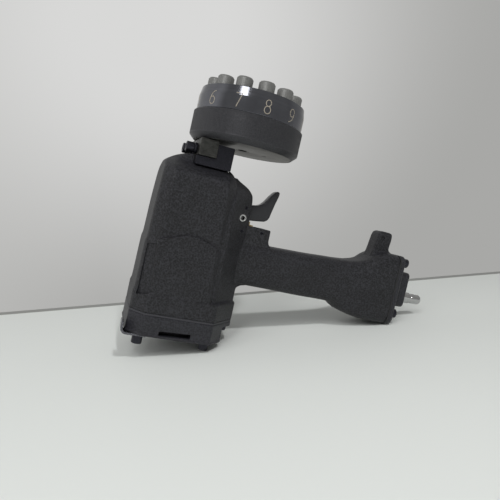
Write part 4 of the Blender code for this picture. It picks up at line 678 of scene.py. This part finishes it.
def make_housing():
    body = cast([casing_skin(), chamber_skin(), handle_skin(), fillet_skin(), block_skin(),
                 lug_skin()], 1.08, 2)
    bore_end = HOUSING_Z + BORE_DEPTH
    cut(body, [rod(BORE_RADIUS, HOUSING_Z - 4, bore_end, steps=96)])
    cut(body, [rod(5.6, bore_end - 2, 200)])
    cut(body, [recess_skin(-1), recess_skin(1)])
    cut(body, [rounded_box((-8.3, -16.3, NOSE_POCKET), (100, 16.3, 205), 0.4)])
    cut(body, [rounded_box((-8.3, -26, 179.4), (29.5, 26, 205), 0.4)])
    cut(body, [rounded_box((43.5, -6.2, 127.5), (92, 6.2, 157.5), 0.8)])
    cut(body, [rod(HANDLE_BORE, 0, FLANGE_X + 4, (0, 0, HANDLE_Z), "X"),
               rod(7.3, 100.7, 133, (VALVE_X, 0, 0))])
    cut(body, [rod(4.1, -50, 50, PIVOT, "Y", 32)]
        + [rod(1.9, -50, 50, (x, 0, z), "Y", 24) for x, z, _ in PINS])
    # A dimple in the lug's near side
    cut(body, [turned([(0.01, -9.6), (1.6, -9.4), (2.6, -9.0), (2.8, -8.0), (0.01, -7.9)], 24,
                      (222.8, 0, 150.2), "Y")])
    cut(body, [rod(M6_HOLE, HOUSING_Z - 4, seat + long + 0.6, (x, y, 0), steps=24)
               for _, x, y, seat, long in SCREWS]
        + [rod(M5_HOLE, END_FACE_X - 20.3, FLANGE_X + 4, (0, y, z), "X", 24)
           for _, y, z in END_SCREWS])
    piece("housing_casting", evaluated_mesh(body, "housing_casting"), "gun", "cast_black",
          "main_housing", sharp=40)


def cap_outline():
    return arcs([(-HALF_X, -HALF_Y + CORNER), (-HALF_X + CORNER, -HALF_Y),
                 (CHAMBER_REACH - CHAMBER_CORNER_X, -HALF_Y),
                 (CHAMBER_REACH, -HALF_Y + CHAMBER_CORNER_Y),
                 (CHAMBER_REACH, HALF_Y - CHAMBER_CORNER_Y),
                 (CHAMBER_REACH - CHAMBER_CORNER_X, HALF_Y), (-HALF_X + CORNER, HALF_Y),
                 (-HALF_X, HALF_Y - CORNER)], 3.0, 5)


def make_rear_cap():
    lip = inset(cap_outline(), -0.8)
    cap = cast([slab(cap_outline(), CAP_UNDER, CAP_TOP, "Z", 1.0),
                slab(lip, CAP_UNDER, CAP_UNDER + 1.9, "Z", 0.3)], 0.85, 1)
    # The step under the front tongue, the round recess and the exhaust slots
    cut(cap, [rounded_box((CHAMBER_REACH - 11.3, -50, CAP_UNDER - 4),
                          (CHAMBER_REACH + 4, 50, CAP_UNDER + 15.5), 1.0)])
    cut(cap, [turned([(33.5, CAP_TOP + 2), (33.5, CAP_TOP - 8), (16, CAP_TOP - 8),
                      (16, CAP_TOP + 2)], 96, closed=True)])
    foot = CAP_UNDER + 1.5
    slot = arcs([(-10.5, foot + 0.6), (20.5, foot + 1.7), (20.5, foot + 6.5),
                 (-10.5, foot + 5.4)], 1.0, 5)
    cut(cap, [slab(slot, -50, -34.5, "Y", 0.0), slab(slot, 34.5, 50, "Y", 0.0)])
    # The head valve's guide, its well, and the screw holes
    cut(cap, [turned([(16, CAP_TOP - 9), (16, CAP_TOP + 8.7), (9, CAP_TOP + 8.7),
                      (9, CAP_TOP - 9)], 72, closed=True)], "UNION")
    cut(cap, [rod(9, CAP_TOP - 6.5, CAP_TOP + 4)])
    cut(cap, [rod(M6_HOLE, CAP_UNDER - 4, CAP_TOP + 4, (x, y, 0), steps=24)
              for _, x, y, _, _ in SCREWS])
    piece("rear_cap_casting", evaluated_mesh(cap, "rear_cap_casting"), "gun", "cap_black",
          "rear_cap")


# Socket screws: head radius, head height, shank radius, socket depth
M6 = (5.2, 8.0, 3.0, 3.5)
M5 = (5.0, 6.0, 2.5, 3.0)
SOCKET = 2.7


def socket_screw(name, node, seat, size, length, axis, way):
    """A socket screw as one turned skin: from the shank's tip up to the head, over its rounded
    rim and down into the socket, where the radius turns from a circle into a hexagon."""
    head, head_height, shank, depth = size
    rim = head_height * 0.1
    t = np.linspace(0, math.pi / 2, 5)
    edge = np.column_stack([head - rim + rim * np.cos(t), head_height - rim + rim * np.sin(t)])
    profile = np.vstack([
        [(shank * 0.75, -length), (shank, -length + shank * 0.4), (shank, 0), (head - 0.3, 0),
         (head, 0.3)], edge,
        [(SOCKET * 1.12, head_height), (SOCKET, head_height - 0.4),
         (SOCKET, head_height - depth), (SOCKET * 0.05, head_height - depth - 1.2)]])
    share = np.zeros(len(profile))
    share[-3:-1] = 1.0
    a = np.linspace(0, 2 * math.pi, 48, endpoint=False)
    flat = (a + math.pi / 6) % (math.pi / 3) - math.pi / 6
    wide = 1 + share[:, None] * (math.cos(math.pi / 6) / np.cos(flat) * 1.08 - 1)
    radius = profile[:, None, 0] * wide
    grid = np.stack([radius * np.cos(a), radius * np.sin(a),
                     way * np.broadcast_to(profile[:, None, 1], radius.shape)], -1)
    made(name, [shell(grid[:, :, AXES[axis]] + np.asarray(seat, float))], "gun", "black_oxide",
         node)


def make_screws():
    for tag, x, y, seat, long in SCREWS:
        socket_screw(f"cap_socket_screw_{tag}", f"cap_screw_{tag}", (x, y, seat), M6, long, "Z",
                     -1)
    for tag, side in SIDES:
        y = side * BRACKET_SCREW_Y
        socket_screw(f"bracket_socket_screw_{tag}", f"bracket_screw_{tag}",
                     (-10.0, y, BRACKET_SCREW_Z), M6, 35.6, "X", -1)
        ring = arcs([(5.7, -9.7), (5.7, -7.1), (3.3, -7.1), (3.3, -9.7)], 0.4, 3)
        made(f"bracket_ring_{tag}", [turned(ring, 48, (0, y, BRACKET_SCREW_Z), "X", True)],
             "gun", "black_oxide", f"bracket_washer_{tag}")
    for tag, y, z in END_SCREWS:
        socket_screw(f"end_socket_screw_{tag}", f"end_screw_{tag}", (END_FACE_X + 0.3, y, z), M5,
                     20.0, "X", 1)


def make_gasket():
    """The seal between cap and casting, cut flush with both."""
    seal = hidden("seal", [slab(inset(cap_outline(), 0.25), CAP_TOP - 0.1, HOUSING_Z + 0.2, "Z",
                                0.0)])
    cut(seal, [rod(BORE_RADIUS, CAP_TOP - 2, HOUSING_Z + 2, steps=96)])
    piece("rear_gasket_cut", evaluated_mesh(seal, "seal"), "gun", "rubber", "rear_cap_gasket",
          material=SEAL_GREY)


def make_hook():
    """A strip under the near left cap screw, bent up past the cap's left side, with the edges
    of its free end cut off."""
    thick, bend = 2.3, 6.0
    top = CAP_UNDER - 0.3
    low, outer = top - thick, -HALF_X - 4.5
    t = np.linspace(0, math.pi / 2, 9)
    round_corner = np.column_stack([-np.sin(t), -np.cos(t)])
    centre = np.array([outer + bend, low + bend])
    end = low + 12.5
    outline = np.vstack([[(-21.0, low)], centre + bend * round_corner,
                         [(outer, end - 0.5), (outer + 0.5, end), (outer + 1.8, end),
                          (outer + thick, end - 0.5)],
                         (centre + (bend - thick) * round_corner)[::-1], [(-21.0, top)]])
    clip = hidden("clip", [slab(outline, -40, -26, "Y", 0.4, 3)])
    cut(clip, [rod(M6_HOLE, low - 2, top + 2, (-28, -33, 0), steps=24)])
    piece("bent_clip", evaluated_mesh(clip, "bent_clip"), "gun", "black_oxide", "hook_clip",
          material=CLIP_STEEL)


def nose_outline(foot):
    """The nose block's L from the side: a low front under the bracket, a tall back behind it."""
    return arcs([(-8, foot), (28.6, foot), (28.6, NOSE_STEP + 14.5), (11.6, NOSE_STEP + 14.5),
                 (11.6, NOSE_STEP), (-8, NOSE_STEP)], [1.2, 1.2, 1.2, 1.2, 0.4, 1.2], 4)


def make_nose():
    """The nose block with a cheek on each side, and the bracket screwed to it."""
    holes = [rod(M6_HOLE, -30, 26.2, (0, y, BRACKET_SCREW_Z), "X", 32)
             for y in (-BRACKET_SCREW_Y, BRACKET_SCREW_Y)]
    bore = [rod(4.3, 170, 215)]
    block = hidden("block", [slab(nose_outline(176.2), -16, 16, "Y", 0.0),
                             slab(nose_outline(179.6), -25.8, -16.05, "Y", 0.0),
                             slab(nose_outline(179.6), 16.05, 25.8, "Y", 0.0)])
    bracket = hidden("bracket", [rounded_box((-6.8, -30, BRACKET_Z), (11.3, 30, BRACKET_TOP),
                                             0.8, 0.8)])
    for obj in (block, bracket):
        cut(obj, holes)
        cut(obj, bore)
    piece("nose_block_milled", evaluated_mesh(block, "nose"), "gun", "black_oxide", "nose_block")
    piece("bracket_milled", evaluated_mesh(bracket, "bracket"), "gun", "bracket_steel",
          "turret_bracket")


def make_plate():
    """The base plate, and the axle through it with a faced foot, a wide head and a hexagon."""
    centre = (TURRET_X, 0, 0)
    section = arcs([(PLATE_RADIUS, PLATE_Z), (PLATE_RADIUS, PLATE_TOP), (6.8, PLATE_TOP),
                    (6.8, PLATE_Z)], 0.5, 3)
    plate = hidden("plate", [turned(section, 160, centre, closed=True)])
    cut(plate, [rod(6.0, 200, 220), rod(2.7, 200, 220, (TURRET_X + 24, 0, 0), steps=32)])
    piece("base_plate_faced", evaluated_mesh(plate, "plate"), "gun", "brushed_plate",
          "turret_base_plate")
    slot = rod(5.1, PLATE_Z - 2, PLATE_Z + 6, centre)
    foot = hidden("foot", [turned([(6.2, PLATE_Z + 0.05), (6.5, PLATE_Z + 0.35),
                                   (6.52, PLATE_Z + 0.6)], 96, centre)])
    cut(foot, [slot])
    piece("axle_foot_faced", evaluated_mesh(foot, "foot"), "gun", "bright_steel", "turret_axle",
          material=FOOT_STEEL)
    top = KNURLED_TOP + 0.3
    axle = hidden("axle", [turned([(6.5, PLATE_Z + 0.3), (6.5, PLATE_TOP + 0.3),
                                   (8, PLATE_TOP + 0.3), (8, top), (13.2, top), (13.5, top + 0.3),
                                   (13.5, top + 5), (13.2, top + 5.7), (12.5, top + 6)], 96,
                                  centre)])
    a = np.arange(6) * math.pi / 3
    hexagon = slab(np.column_stack([TURRET_X + 5.6 * np.cos(a), 5.6 * np.sin(a)]), top + 2,
                   top + 9, "Z", 0.0)
    cut(axle, [slot, hexagon])
    piece("axle_turned", evaluated_mesh(axle, "axle"), "gun", "bright_steel", "turret_axle")


KNURL_PITCH = 1.5
KNURL_DEPTH = 0.22


def make_knurled_wheel():
    """The outer skin's radius is the wheel's, less a depth where two families of grooves at
    plus and minus 45 degrees cross it, so that diamonds stand between them."""
    around, rows = 960, 64
    a = np.linspace(0, 2 * math.pi, around, endpoint=False)
    z = np.linspace(PLATE_Z + 5.6, KNURLED_TOP - 0.9, rows)
    count = round(2 * math.pi * KNURLED_RADIUS / KNURL_PITCH)
    first = count * a[None] + 2 * math.pi * (z[:, None] - PLATE_Z) / KNURL_PITCH
    second = count * a[None] - 2 * math.pi * (z[:, None] - PLATE_Z) / KNURL_PITCH
    groove = np.maximum(np.cos(first), np.cos(second)) * 0.5 + 0.5
    fade = np.minimum(1, np.minimum(z - z[0], z[-1] - z) / 0.8)[:, None]
    skin_radius = KNURLED_RADIUS - KNURL_DEPTH * (0.15 + 0.85 * groove ** 2 * fade)
    smooth_rows = np.array([
        (8.4, PLATE_TOP + 0.4), (51.7, PLATE_TOP + 0.4), (51.7, PLATE_Z + 0.2),
        (51.9, PLATE_Z), (52.2, PLATE_Z), (57.2, PLATE_Z + 4.7), (57.35, PLATE_Z + 5.1)])
    top_rows = np.array([(57.4, KNURLED_TOP - 0.7), (56.8, KNURLED_TOP - 0.1),
                         (56.5, KNURLED_TOP), (8.7, KNURLED_TOP), (8.4, KNURLED_TOP - 0.3)])
    radius = np.vstack([np.repeat(smooth_rows[:, :1], around, 1), skin_radius,
                        np.repeat(top_rows[:, :1], around, 1)])
    height = np.concatenate([smooth_rows[:, 1], z, top_rows[:, 1]])[:, None]
    grid = np.stack([TURRET_X + radius * np.cos(a), radius * np.sin(a),
                     np.broadcast_to(height, radius.shape)], -1)
    made("knurled_wheel_turned", [shell(grid, True)], "turret", "turret_steel",
         "knurled_wheel", material=KNURL_STEEL)


def punch_angle(i):
    return math.pi + 2 * math.pi * i / PUNCH_COUNT


def punch_place(i):
    a = punch_angle(i)
    return TURRET_X + PUNCH_CIRCLE * math.cos(a), PUNCH_CIRCLE * math.sin(a), 0


def ring_radius(z):
    """Outer radius of the digit ring: straight, then a cone to the top."""
    return RING_RADIUS - 1.6 * np.clip((z - (RING_TOP - 9)) / 9, 0, 1)


def make_digit_ring():
    section = arcs([(28.5, RING_Z), (RING_RADIUS, RING_Z), (RING_RADIUS, RING_TOP - 9),
                    (RING_RADIUS - 1.6, RING_TOP), (28.5, RING_TOP)], [0.4, 0.5, 0.3, 0.6, 0.5], 3)
    ring = hidden("ring", [turned(section, 240, (TURRET_X, 0, 0), closed=True)])
    cut(ring, [rod(8.5, RING_Z - 2, RING_TOP + 2, punch_place(i)) for i in range(PUNCH_COUNT)])
    piece("digit_ring_polished", evaluated_mesh(ring, "ring"), "turret", "blued_steel",
          "digit_ring", sharp=8)


def bow(cx, cy, rx, ry, start, end, count=28):
    """A stretch of an ellipse between two angles in degrees."""
    t = np.radians(np.linspace(start, end, count))
    return np.column_stack([cx + rx * np.cos(t), cy + ry * np.sin(t)])


def straight(*points):
    """Points joined by straight runs, sampled closely."""
    p = np.array(points, float)
    t = np.linspace(0, len(p) - 1, 12 * (len(p) - 1) + 1)
    return np.column_stack([np.interp(t, np.arange(len(p)), p[:, k]) for k in (0, 1)])


# Engraver's digits, one stroke or more each, in shares of the digit's height
DIGITS = {
    "0": [bow(0, 0.5, 0.23, 0.5, 90, 450)],
    "1": [straight((-0.10, 0.80), (0.03, 1.0)), straight((0.03, 1.0), (0.03, 0.0))],
    "2": [np.vstack([bow(0, 0.74, 0.24, 0.26, 165, -35), straight((0.18, 0.56), (-0.24, 0.0))]),
          straight((-0.24, 0.0), (0.25, 0.0))],
    "3": [bow(-0.01, 0.76, 0.22, 0.24, 150, -80), bow(-0.01, 0.265, 0.25, 0.265, 80, -150)],
    "4": [straight((0.10, 0.0), (0.10, 1.0), (-0.25, 0.32)), straight((-0.25, 0.32),
                                                                      (0.25, 0.32))],
    "5": [straight((0.21, 1.0), (-0.19, 1.0), (-0.21, 0.56)),
          bow(-0.02, 0.31, 0.25, 0.31, 128, -150)],
    "6": [np.vstack([bow(0.42, 0.33, 0.66, 0.70, 104, 178, 20),
                     bow(0, 0.29, 0.24, 0.29, 180, 540)])],
    "7": [straight((-0.24, 1.0), (0.24, 1.0)), straight((0.24, 1.0), (-0.08, 0.0))],
    "8": [bow(0, 0.77, 0.205, 0.23, -90, 270), bow(0, 0.27, 0.245, 0.27, 90, 450)],
    "9": [np.vstack([bow(0, 0.71, 0.24, 0.29, 0, 360),
                     bow(-0.42, 0.67, 0.66, 0.70, -2, -76, 20)])],
}
PUNCH_DIGITS = ("5", "6", "7", "8", "9", "0", None, None, "1", "2", "3", "4")
DIGIT_HEIGHT = 12.8
DIGIT_FOOT = RING_Z + 2.8
DIGIT_TURN = math.radians(1.9)


def make_digits():
    """Each stroke is laid on the ring: its across value is an arc length, its up value a level,
    and the flattened tube along it stands just proud of the steel."""
    strokes = []
    for i, digit in enumerate(PUNCH_DIGITS):
        for line in DIGITS.get(digit, []):
            z = DIGIT_FOOT + DIGIT_HEIGHT * line[:, 1]
            r = ring_radius(z)
            a = punch_angle(i) + DIGIT_TURN + DIGIT_HEIGHT * line[:, 0] / RING_RADIUS
            path = np.column_stack([TURRET_X + r * np.cos(a), r * np.sin(a), z])
            out = np.column_stack([np.cos(a), np.sin(a), np.zeros(len(a))])
            strokes.append(tube(path, out, 0.42, 0.08))
    made("engraved_digits", strokes, "turret", "blued_steel", material=STROKE_PAINT)


def make_punches():
    """Punches with a rounded rim, each with its digit mirrored and raised on its face."""
    head, shank, foot, digit_height = 8.106, 5.593, PLATE_TOP + 0.7, 4.2
    t = np.linspace(0, math.pi / 2, 5)
    edge = np.column_stack([head - 1.5 + 0.5 * np.sin(t[::-1]), PUNCH_TOP - 0.5
                            + 0.5 * np.cos(t[::-1])])
    profile = np.vstack([
        [(shank - 0.6, foot), (shank, foot + 0.6), (shank, RING_Z), (head - 0.3, RING_Z),
         (head, RING_Z + 0.3), (head, PUNCH_TOP - 1.7), (head - 0.1, PUNCH_TOP - 1.4)], edge])
    for i, digit in enumerate(PUNCH_DIGITS):
        c, s = math.cos(punch_angle(i)), math.sin(punch_angle(i))
        x, y, _ = punch_place(i)
        shells = [turned(profile, 64, (x, y, 0))]
        for line in DIGITS.get(digit, []):
            across, up = -digit_height * line[:, 0], digit_height * (line[:, 1] - 0.5)
            path = np.column_stack([x - across * s - up * c, y + across * c - up * s,
                                    np.full(len(line), PUNCH_TOP)])
            shells.append(tube(path, np.tile([0, 0, 1.0], (len(line), 1)), 0.28, 0.22, 8))
        made(f"punch_hardened_{i:02d}", shells, f"punch_{i:02d}_slide", "punch_steel",
             f"punch_{i:02d}")


def make_trigger():
    """The trigger's lever, and what it works on: the valve's body, the tube that it turns on
    and the roll pins."""
    outline = arcs([(PIVOT[0] + 39.5 * u, PIVOT[2] + 35.5 * v) for u, v in TRIGGER], 5.0, 4)
    trigger = hidden("lever", [slab(outline, -5.8, 5.8, "Y", 1.4, 5)])
    cut(trigger, [rod(4.2, -12, 12, PIVOT, "Y")])
    piece("trigger_lever", evaluated_mesh(trigger, "lever"), "trigger", "trigger_black",
          "trigger")
    collar, top = BLOCK_TOP + 0.2, BLOCK_TOP + 1.2
    valve = arcs([(7.0, 100.8), (7.0, collar), (6.0, collar), (6.0, top), (2.7, top), (2.7, 126),
                  (4.9, 124), (4.9, 100.8)], 0.2, 2)
    made("valve_body_turned", [turned(valve, 64, (VALVE_X, 0, 0), closed=True)], "gun", "brass",
         "trigger_valve_body")
    ring = arcs([(3.8, -24.2), (3.8, 24.2), (2.1, 24.2), (2.1, -24.2)], 0.3, 3)
    made("pivot_tube", [turned(ring, 48, PIVOT, "Y", True)], "gun", "bright_steel",
         "trigger_pivot_sleeve")
    for i, (x, z, half) in enumerate(PINS, 1):
        ring = arcs([(1.6, -half), (1.6, half), (0.8, half), (0.8, -half)], 0.15, 3)
        made(f"rolled_pin_{i}", [turned(ring, 32, (x, 0, z), "Y", True)], "gun", "black_oxide",
             f"roll_pin_{i}")


def make_handle_end():
    low, high = FLANGE_Z - FLANGE_HALF, FLANGE_Z + FLANGE_HALF
    flange = arcs([(-28, low), (28, low), (28, high), (-28, high)], 9, 8)
    boss = arcs([(-16, 76.7), (16, 76.7), (16, 117.3), (-16, 117.3)], 5, 8)
    cap = cast([slab(flange, END_CAP_X, END_FACE_X, "X", 1.2),
                slab(boss, END_FACE_X - 3, INLET_FACE_X, "X", 1.0)], 0.8, 3)
    holes = [rod(M5_HOLE, 240, 255, (0, y, z), "X", 24) for _, y, z in END_SCREWS]
    cut(cap, [rod(5.8, 238, 270, (0, 0, INLET_Z), "X")])
    cut(cap, holes)
    piece("handle_end_casting", evaluated_mesh(cap, "end_casting"), "gun", "cap_black",
          "handle_end_cap")
    seal = hidden("seal", [slab(inset(flange, 0.4), FLANGE_X - 0.2, END_CAP_X + 0.2, "X", 0.0)])
    cut(seal, [rod(HANDLE_BORE, 230, 250, (0, 0, HANDLE_Z), "X")])
    cut(seal, holes)
    piece("end_gasket_cut", evaluated_mesh(seal, "seal"), "gun", "rubber", "end_cap_gasket")
    plug = np.array([
        (3.6, -17.4), (5.5, -17.4), (5.5, 0), (6.1, 0), (6.4, 0.3), (6.4, 14.1), (6.1, 14.4),
        (4.6, 14.4), (4.6, 16.0), (4.9, 16.5), (5.5, 17.1), (5.7, 17.8), (5.7, 27.0),
        (5.5, 28.0), (4.9, 29.0), (4.4, 29.5), (3.9, 29.5), (3.6, 29.2)])
    made("plug_turned", [turned(plug, 72, (INLET_FACE_X + 0.3, 0, INLET_Z), "X", True)], "gun",
         "bright_steel", "air_plug")


make_housing()
make_panels()
make_rear_cap()
make_screws()
make_gasket()
make_hook()
make_nose()
make_plate()
make_knurled_wheel()
make_digit_ring()
make_digits()
make_punches()
make_trigger()
make_handle_end()

# The CAD's hidden and small nodes keep their shapes and take the finishes
slots = {part["node"]: part["material_slot"] for part in frame["record"]["subparts"]}
for name, node in frame["nodes"].items():
    if not node.hide_render:
        node.data.materials.clear()
        node.data.materials.append(FINISHES[slots[name]])


# Floor, light and camera
def flat_tone(name, colour, roughness):
    return finish(name, colour, 0.0, roughness, Specular_IOR_Level=0.2)[0]


# The table ends in a straight seam against the wall, with a thin grey strip along it painted for
# the shade in the gap
seam = np.array([(-3.0, 0.3610), (3.0, 0.0239)])
floor_points = np.array([(-3.0, -4.0), (3.0, -4.0), *(seam[::-1]), *(seam + (0, 0.016))])
floor_mesh = bpy.data.meshes.new("table_top")
floor_mesh.from_pydata(np.column_stack([floor_points, np.zeros(6)]), [],
                       [(0, 1, 2, 3), (3, 2, 5, 4)])
floor_mesh.materials.append(flat_tone("pale_table", "#d4d7d4", 0.6))
floor_mesh.materials.append(flat_tone("shaded_gap", "#8f908d", 0.9))
floor_mesh.polygons[1].material_index = 1
floor = bpy.data.objects.new("table_top", floor_mesh)
bpy.context.scene.collection.objects.link(floor)

# The room: even grey light on everything, while what is seen of it directly, in metal or
# through a gap is a pale wall with a painted pool of light, brightest behind the turret's left
# and dimmer to the right. The room is painted paler on the left too and greyer behind the
# camera.
world = bpy.data.worlds.new("room")
bpy.context.scene.world = world
world.use_nodes = True
tree = world.node_tree
background = tree.nodes["Background"]
way = add(tree, "ShaderNodeTexCoord").outputs["Generated"]
toward = add(tree, "ShaderNodeVectorMath", {0: way, 1: (0.092, 0.953, 0.290)},
             operation="DOT_PRODUCT").outputs["Value"]
away = between(tree, sums(tree, "ARCCOSINE", toward), 0.10, 0.64, 0.0, 1.0,
               interpolation_type="SMOOTHSTEP")
across = add(tree, "ShaderNodeSeparateXYZ", {0: way}).outputs
# Painted pool of light on the wall: pale towards the pool and greyer away from it, then painted
# paler to the left and greyer behind the camera
wall = mixed(tree, away, "#d8d8d7", "#a8a8a6")
wall = mixed(tree, between(tree, across[0], -0.02, -0.9, 0.0, 1.0), wall, "#dededc")
wall = mixed(tree, between(tree, across[1], 0.02, -0.24, 0.0, 1.0), wall, "#9a9a98")
rays = add(tree, "ShaderNodeLightPath").outputs
seen = sums(tree, "MAXIMUM", rays["Is Camera Ray"], rays["Is Transmission Ray"])
seen = sums(tree, "MAXIMUM", seen, rays["Is Glossy Ray"])
tree.links.new(mixed(tree, seen, "#919190", wall), background.inputs["Color"])
background.inputs["Strength"].default_value = 1.0


def placed(x_axis, y_axis, z_axis, at):
    """The matrix of an object with these axes at this place."""
    return Matrix([[float(v) for v in row] for row in np.vstack([
        np.column_stack([x_axis, y_axis, z_axis, at]), [0, 0, 0, 1]])])


def softbox(name, azimuth, elevation, distance, width, height, power, target=(-0.06, 0, 0.15)):
    """An area light that faces the target from a direction."""
    a, e = math.radians(azimuth), math.radians(elevation)
    way = np.array([math.cos(a) * math.cos(e), math.sin(a) * math.cos(e), math.sin(e)])
    light = bpy.data.lights.new(name, "AREA")
    light.shape = "RECTANGLE"
    light.size, light.size_y = width, height
    light.energy = power
    obj = bpy.data.objects.new(name, light)
    across = np.cross([0, 0, 1.0], way)
    across /= np.linalg.norm(across)
    obj.matrix_world = placed(across, np.cross(way, across), way,
                              np.asarray(target) + way * distance)
    bpy.context.scene.collection.objects.link(obj)
    return obj


softbox("ceiling_lamp", -77, 49, 1.8, 0.14, 0.14, 14).visible_glossy = False
softbox("window", -116, 42, 1.6, 0.36, 0.45, 4.4)
softbox("lit_ceiling", -128, 40, 1.7, 1.5, 1.2, 12).visible_glossy = False
softbox("pale_wall", 160, 22, 1.5, 0.9, 0.7, 2.5).visible_glossy = False

camera_data = bpy.data.cameras.new("camera")
camera_data.sensor_width = 36.0
camera_data.lens = 36.144
camera = bpy.data.objects.new("camera", camera_data)
bpy.context.scene.collection.objects.link(camera)
back = LEAN_TURN @ (-0.289, -0.955, 0.063)
back /= np.linalg.norm(back)
up = LEAN_TURN @ (-0.193, 0.123, 0.973)
up -= back * (up @ back)
up /= np.linalg.norm(up)
camera.matrix_world = placed(np.cross(up, back), up, back, to_row_frame((-82.35, -517.1, 139.9)))
bpy.context.scene.camera = camera
bpy.context.scene.view_settings.view_transform = "Standard"
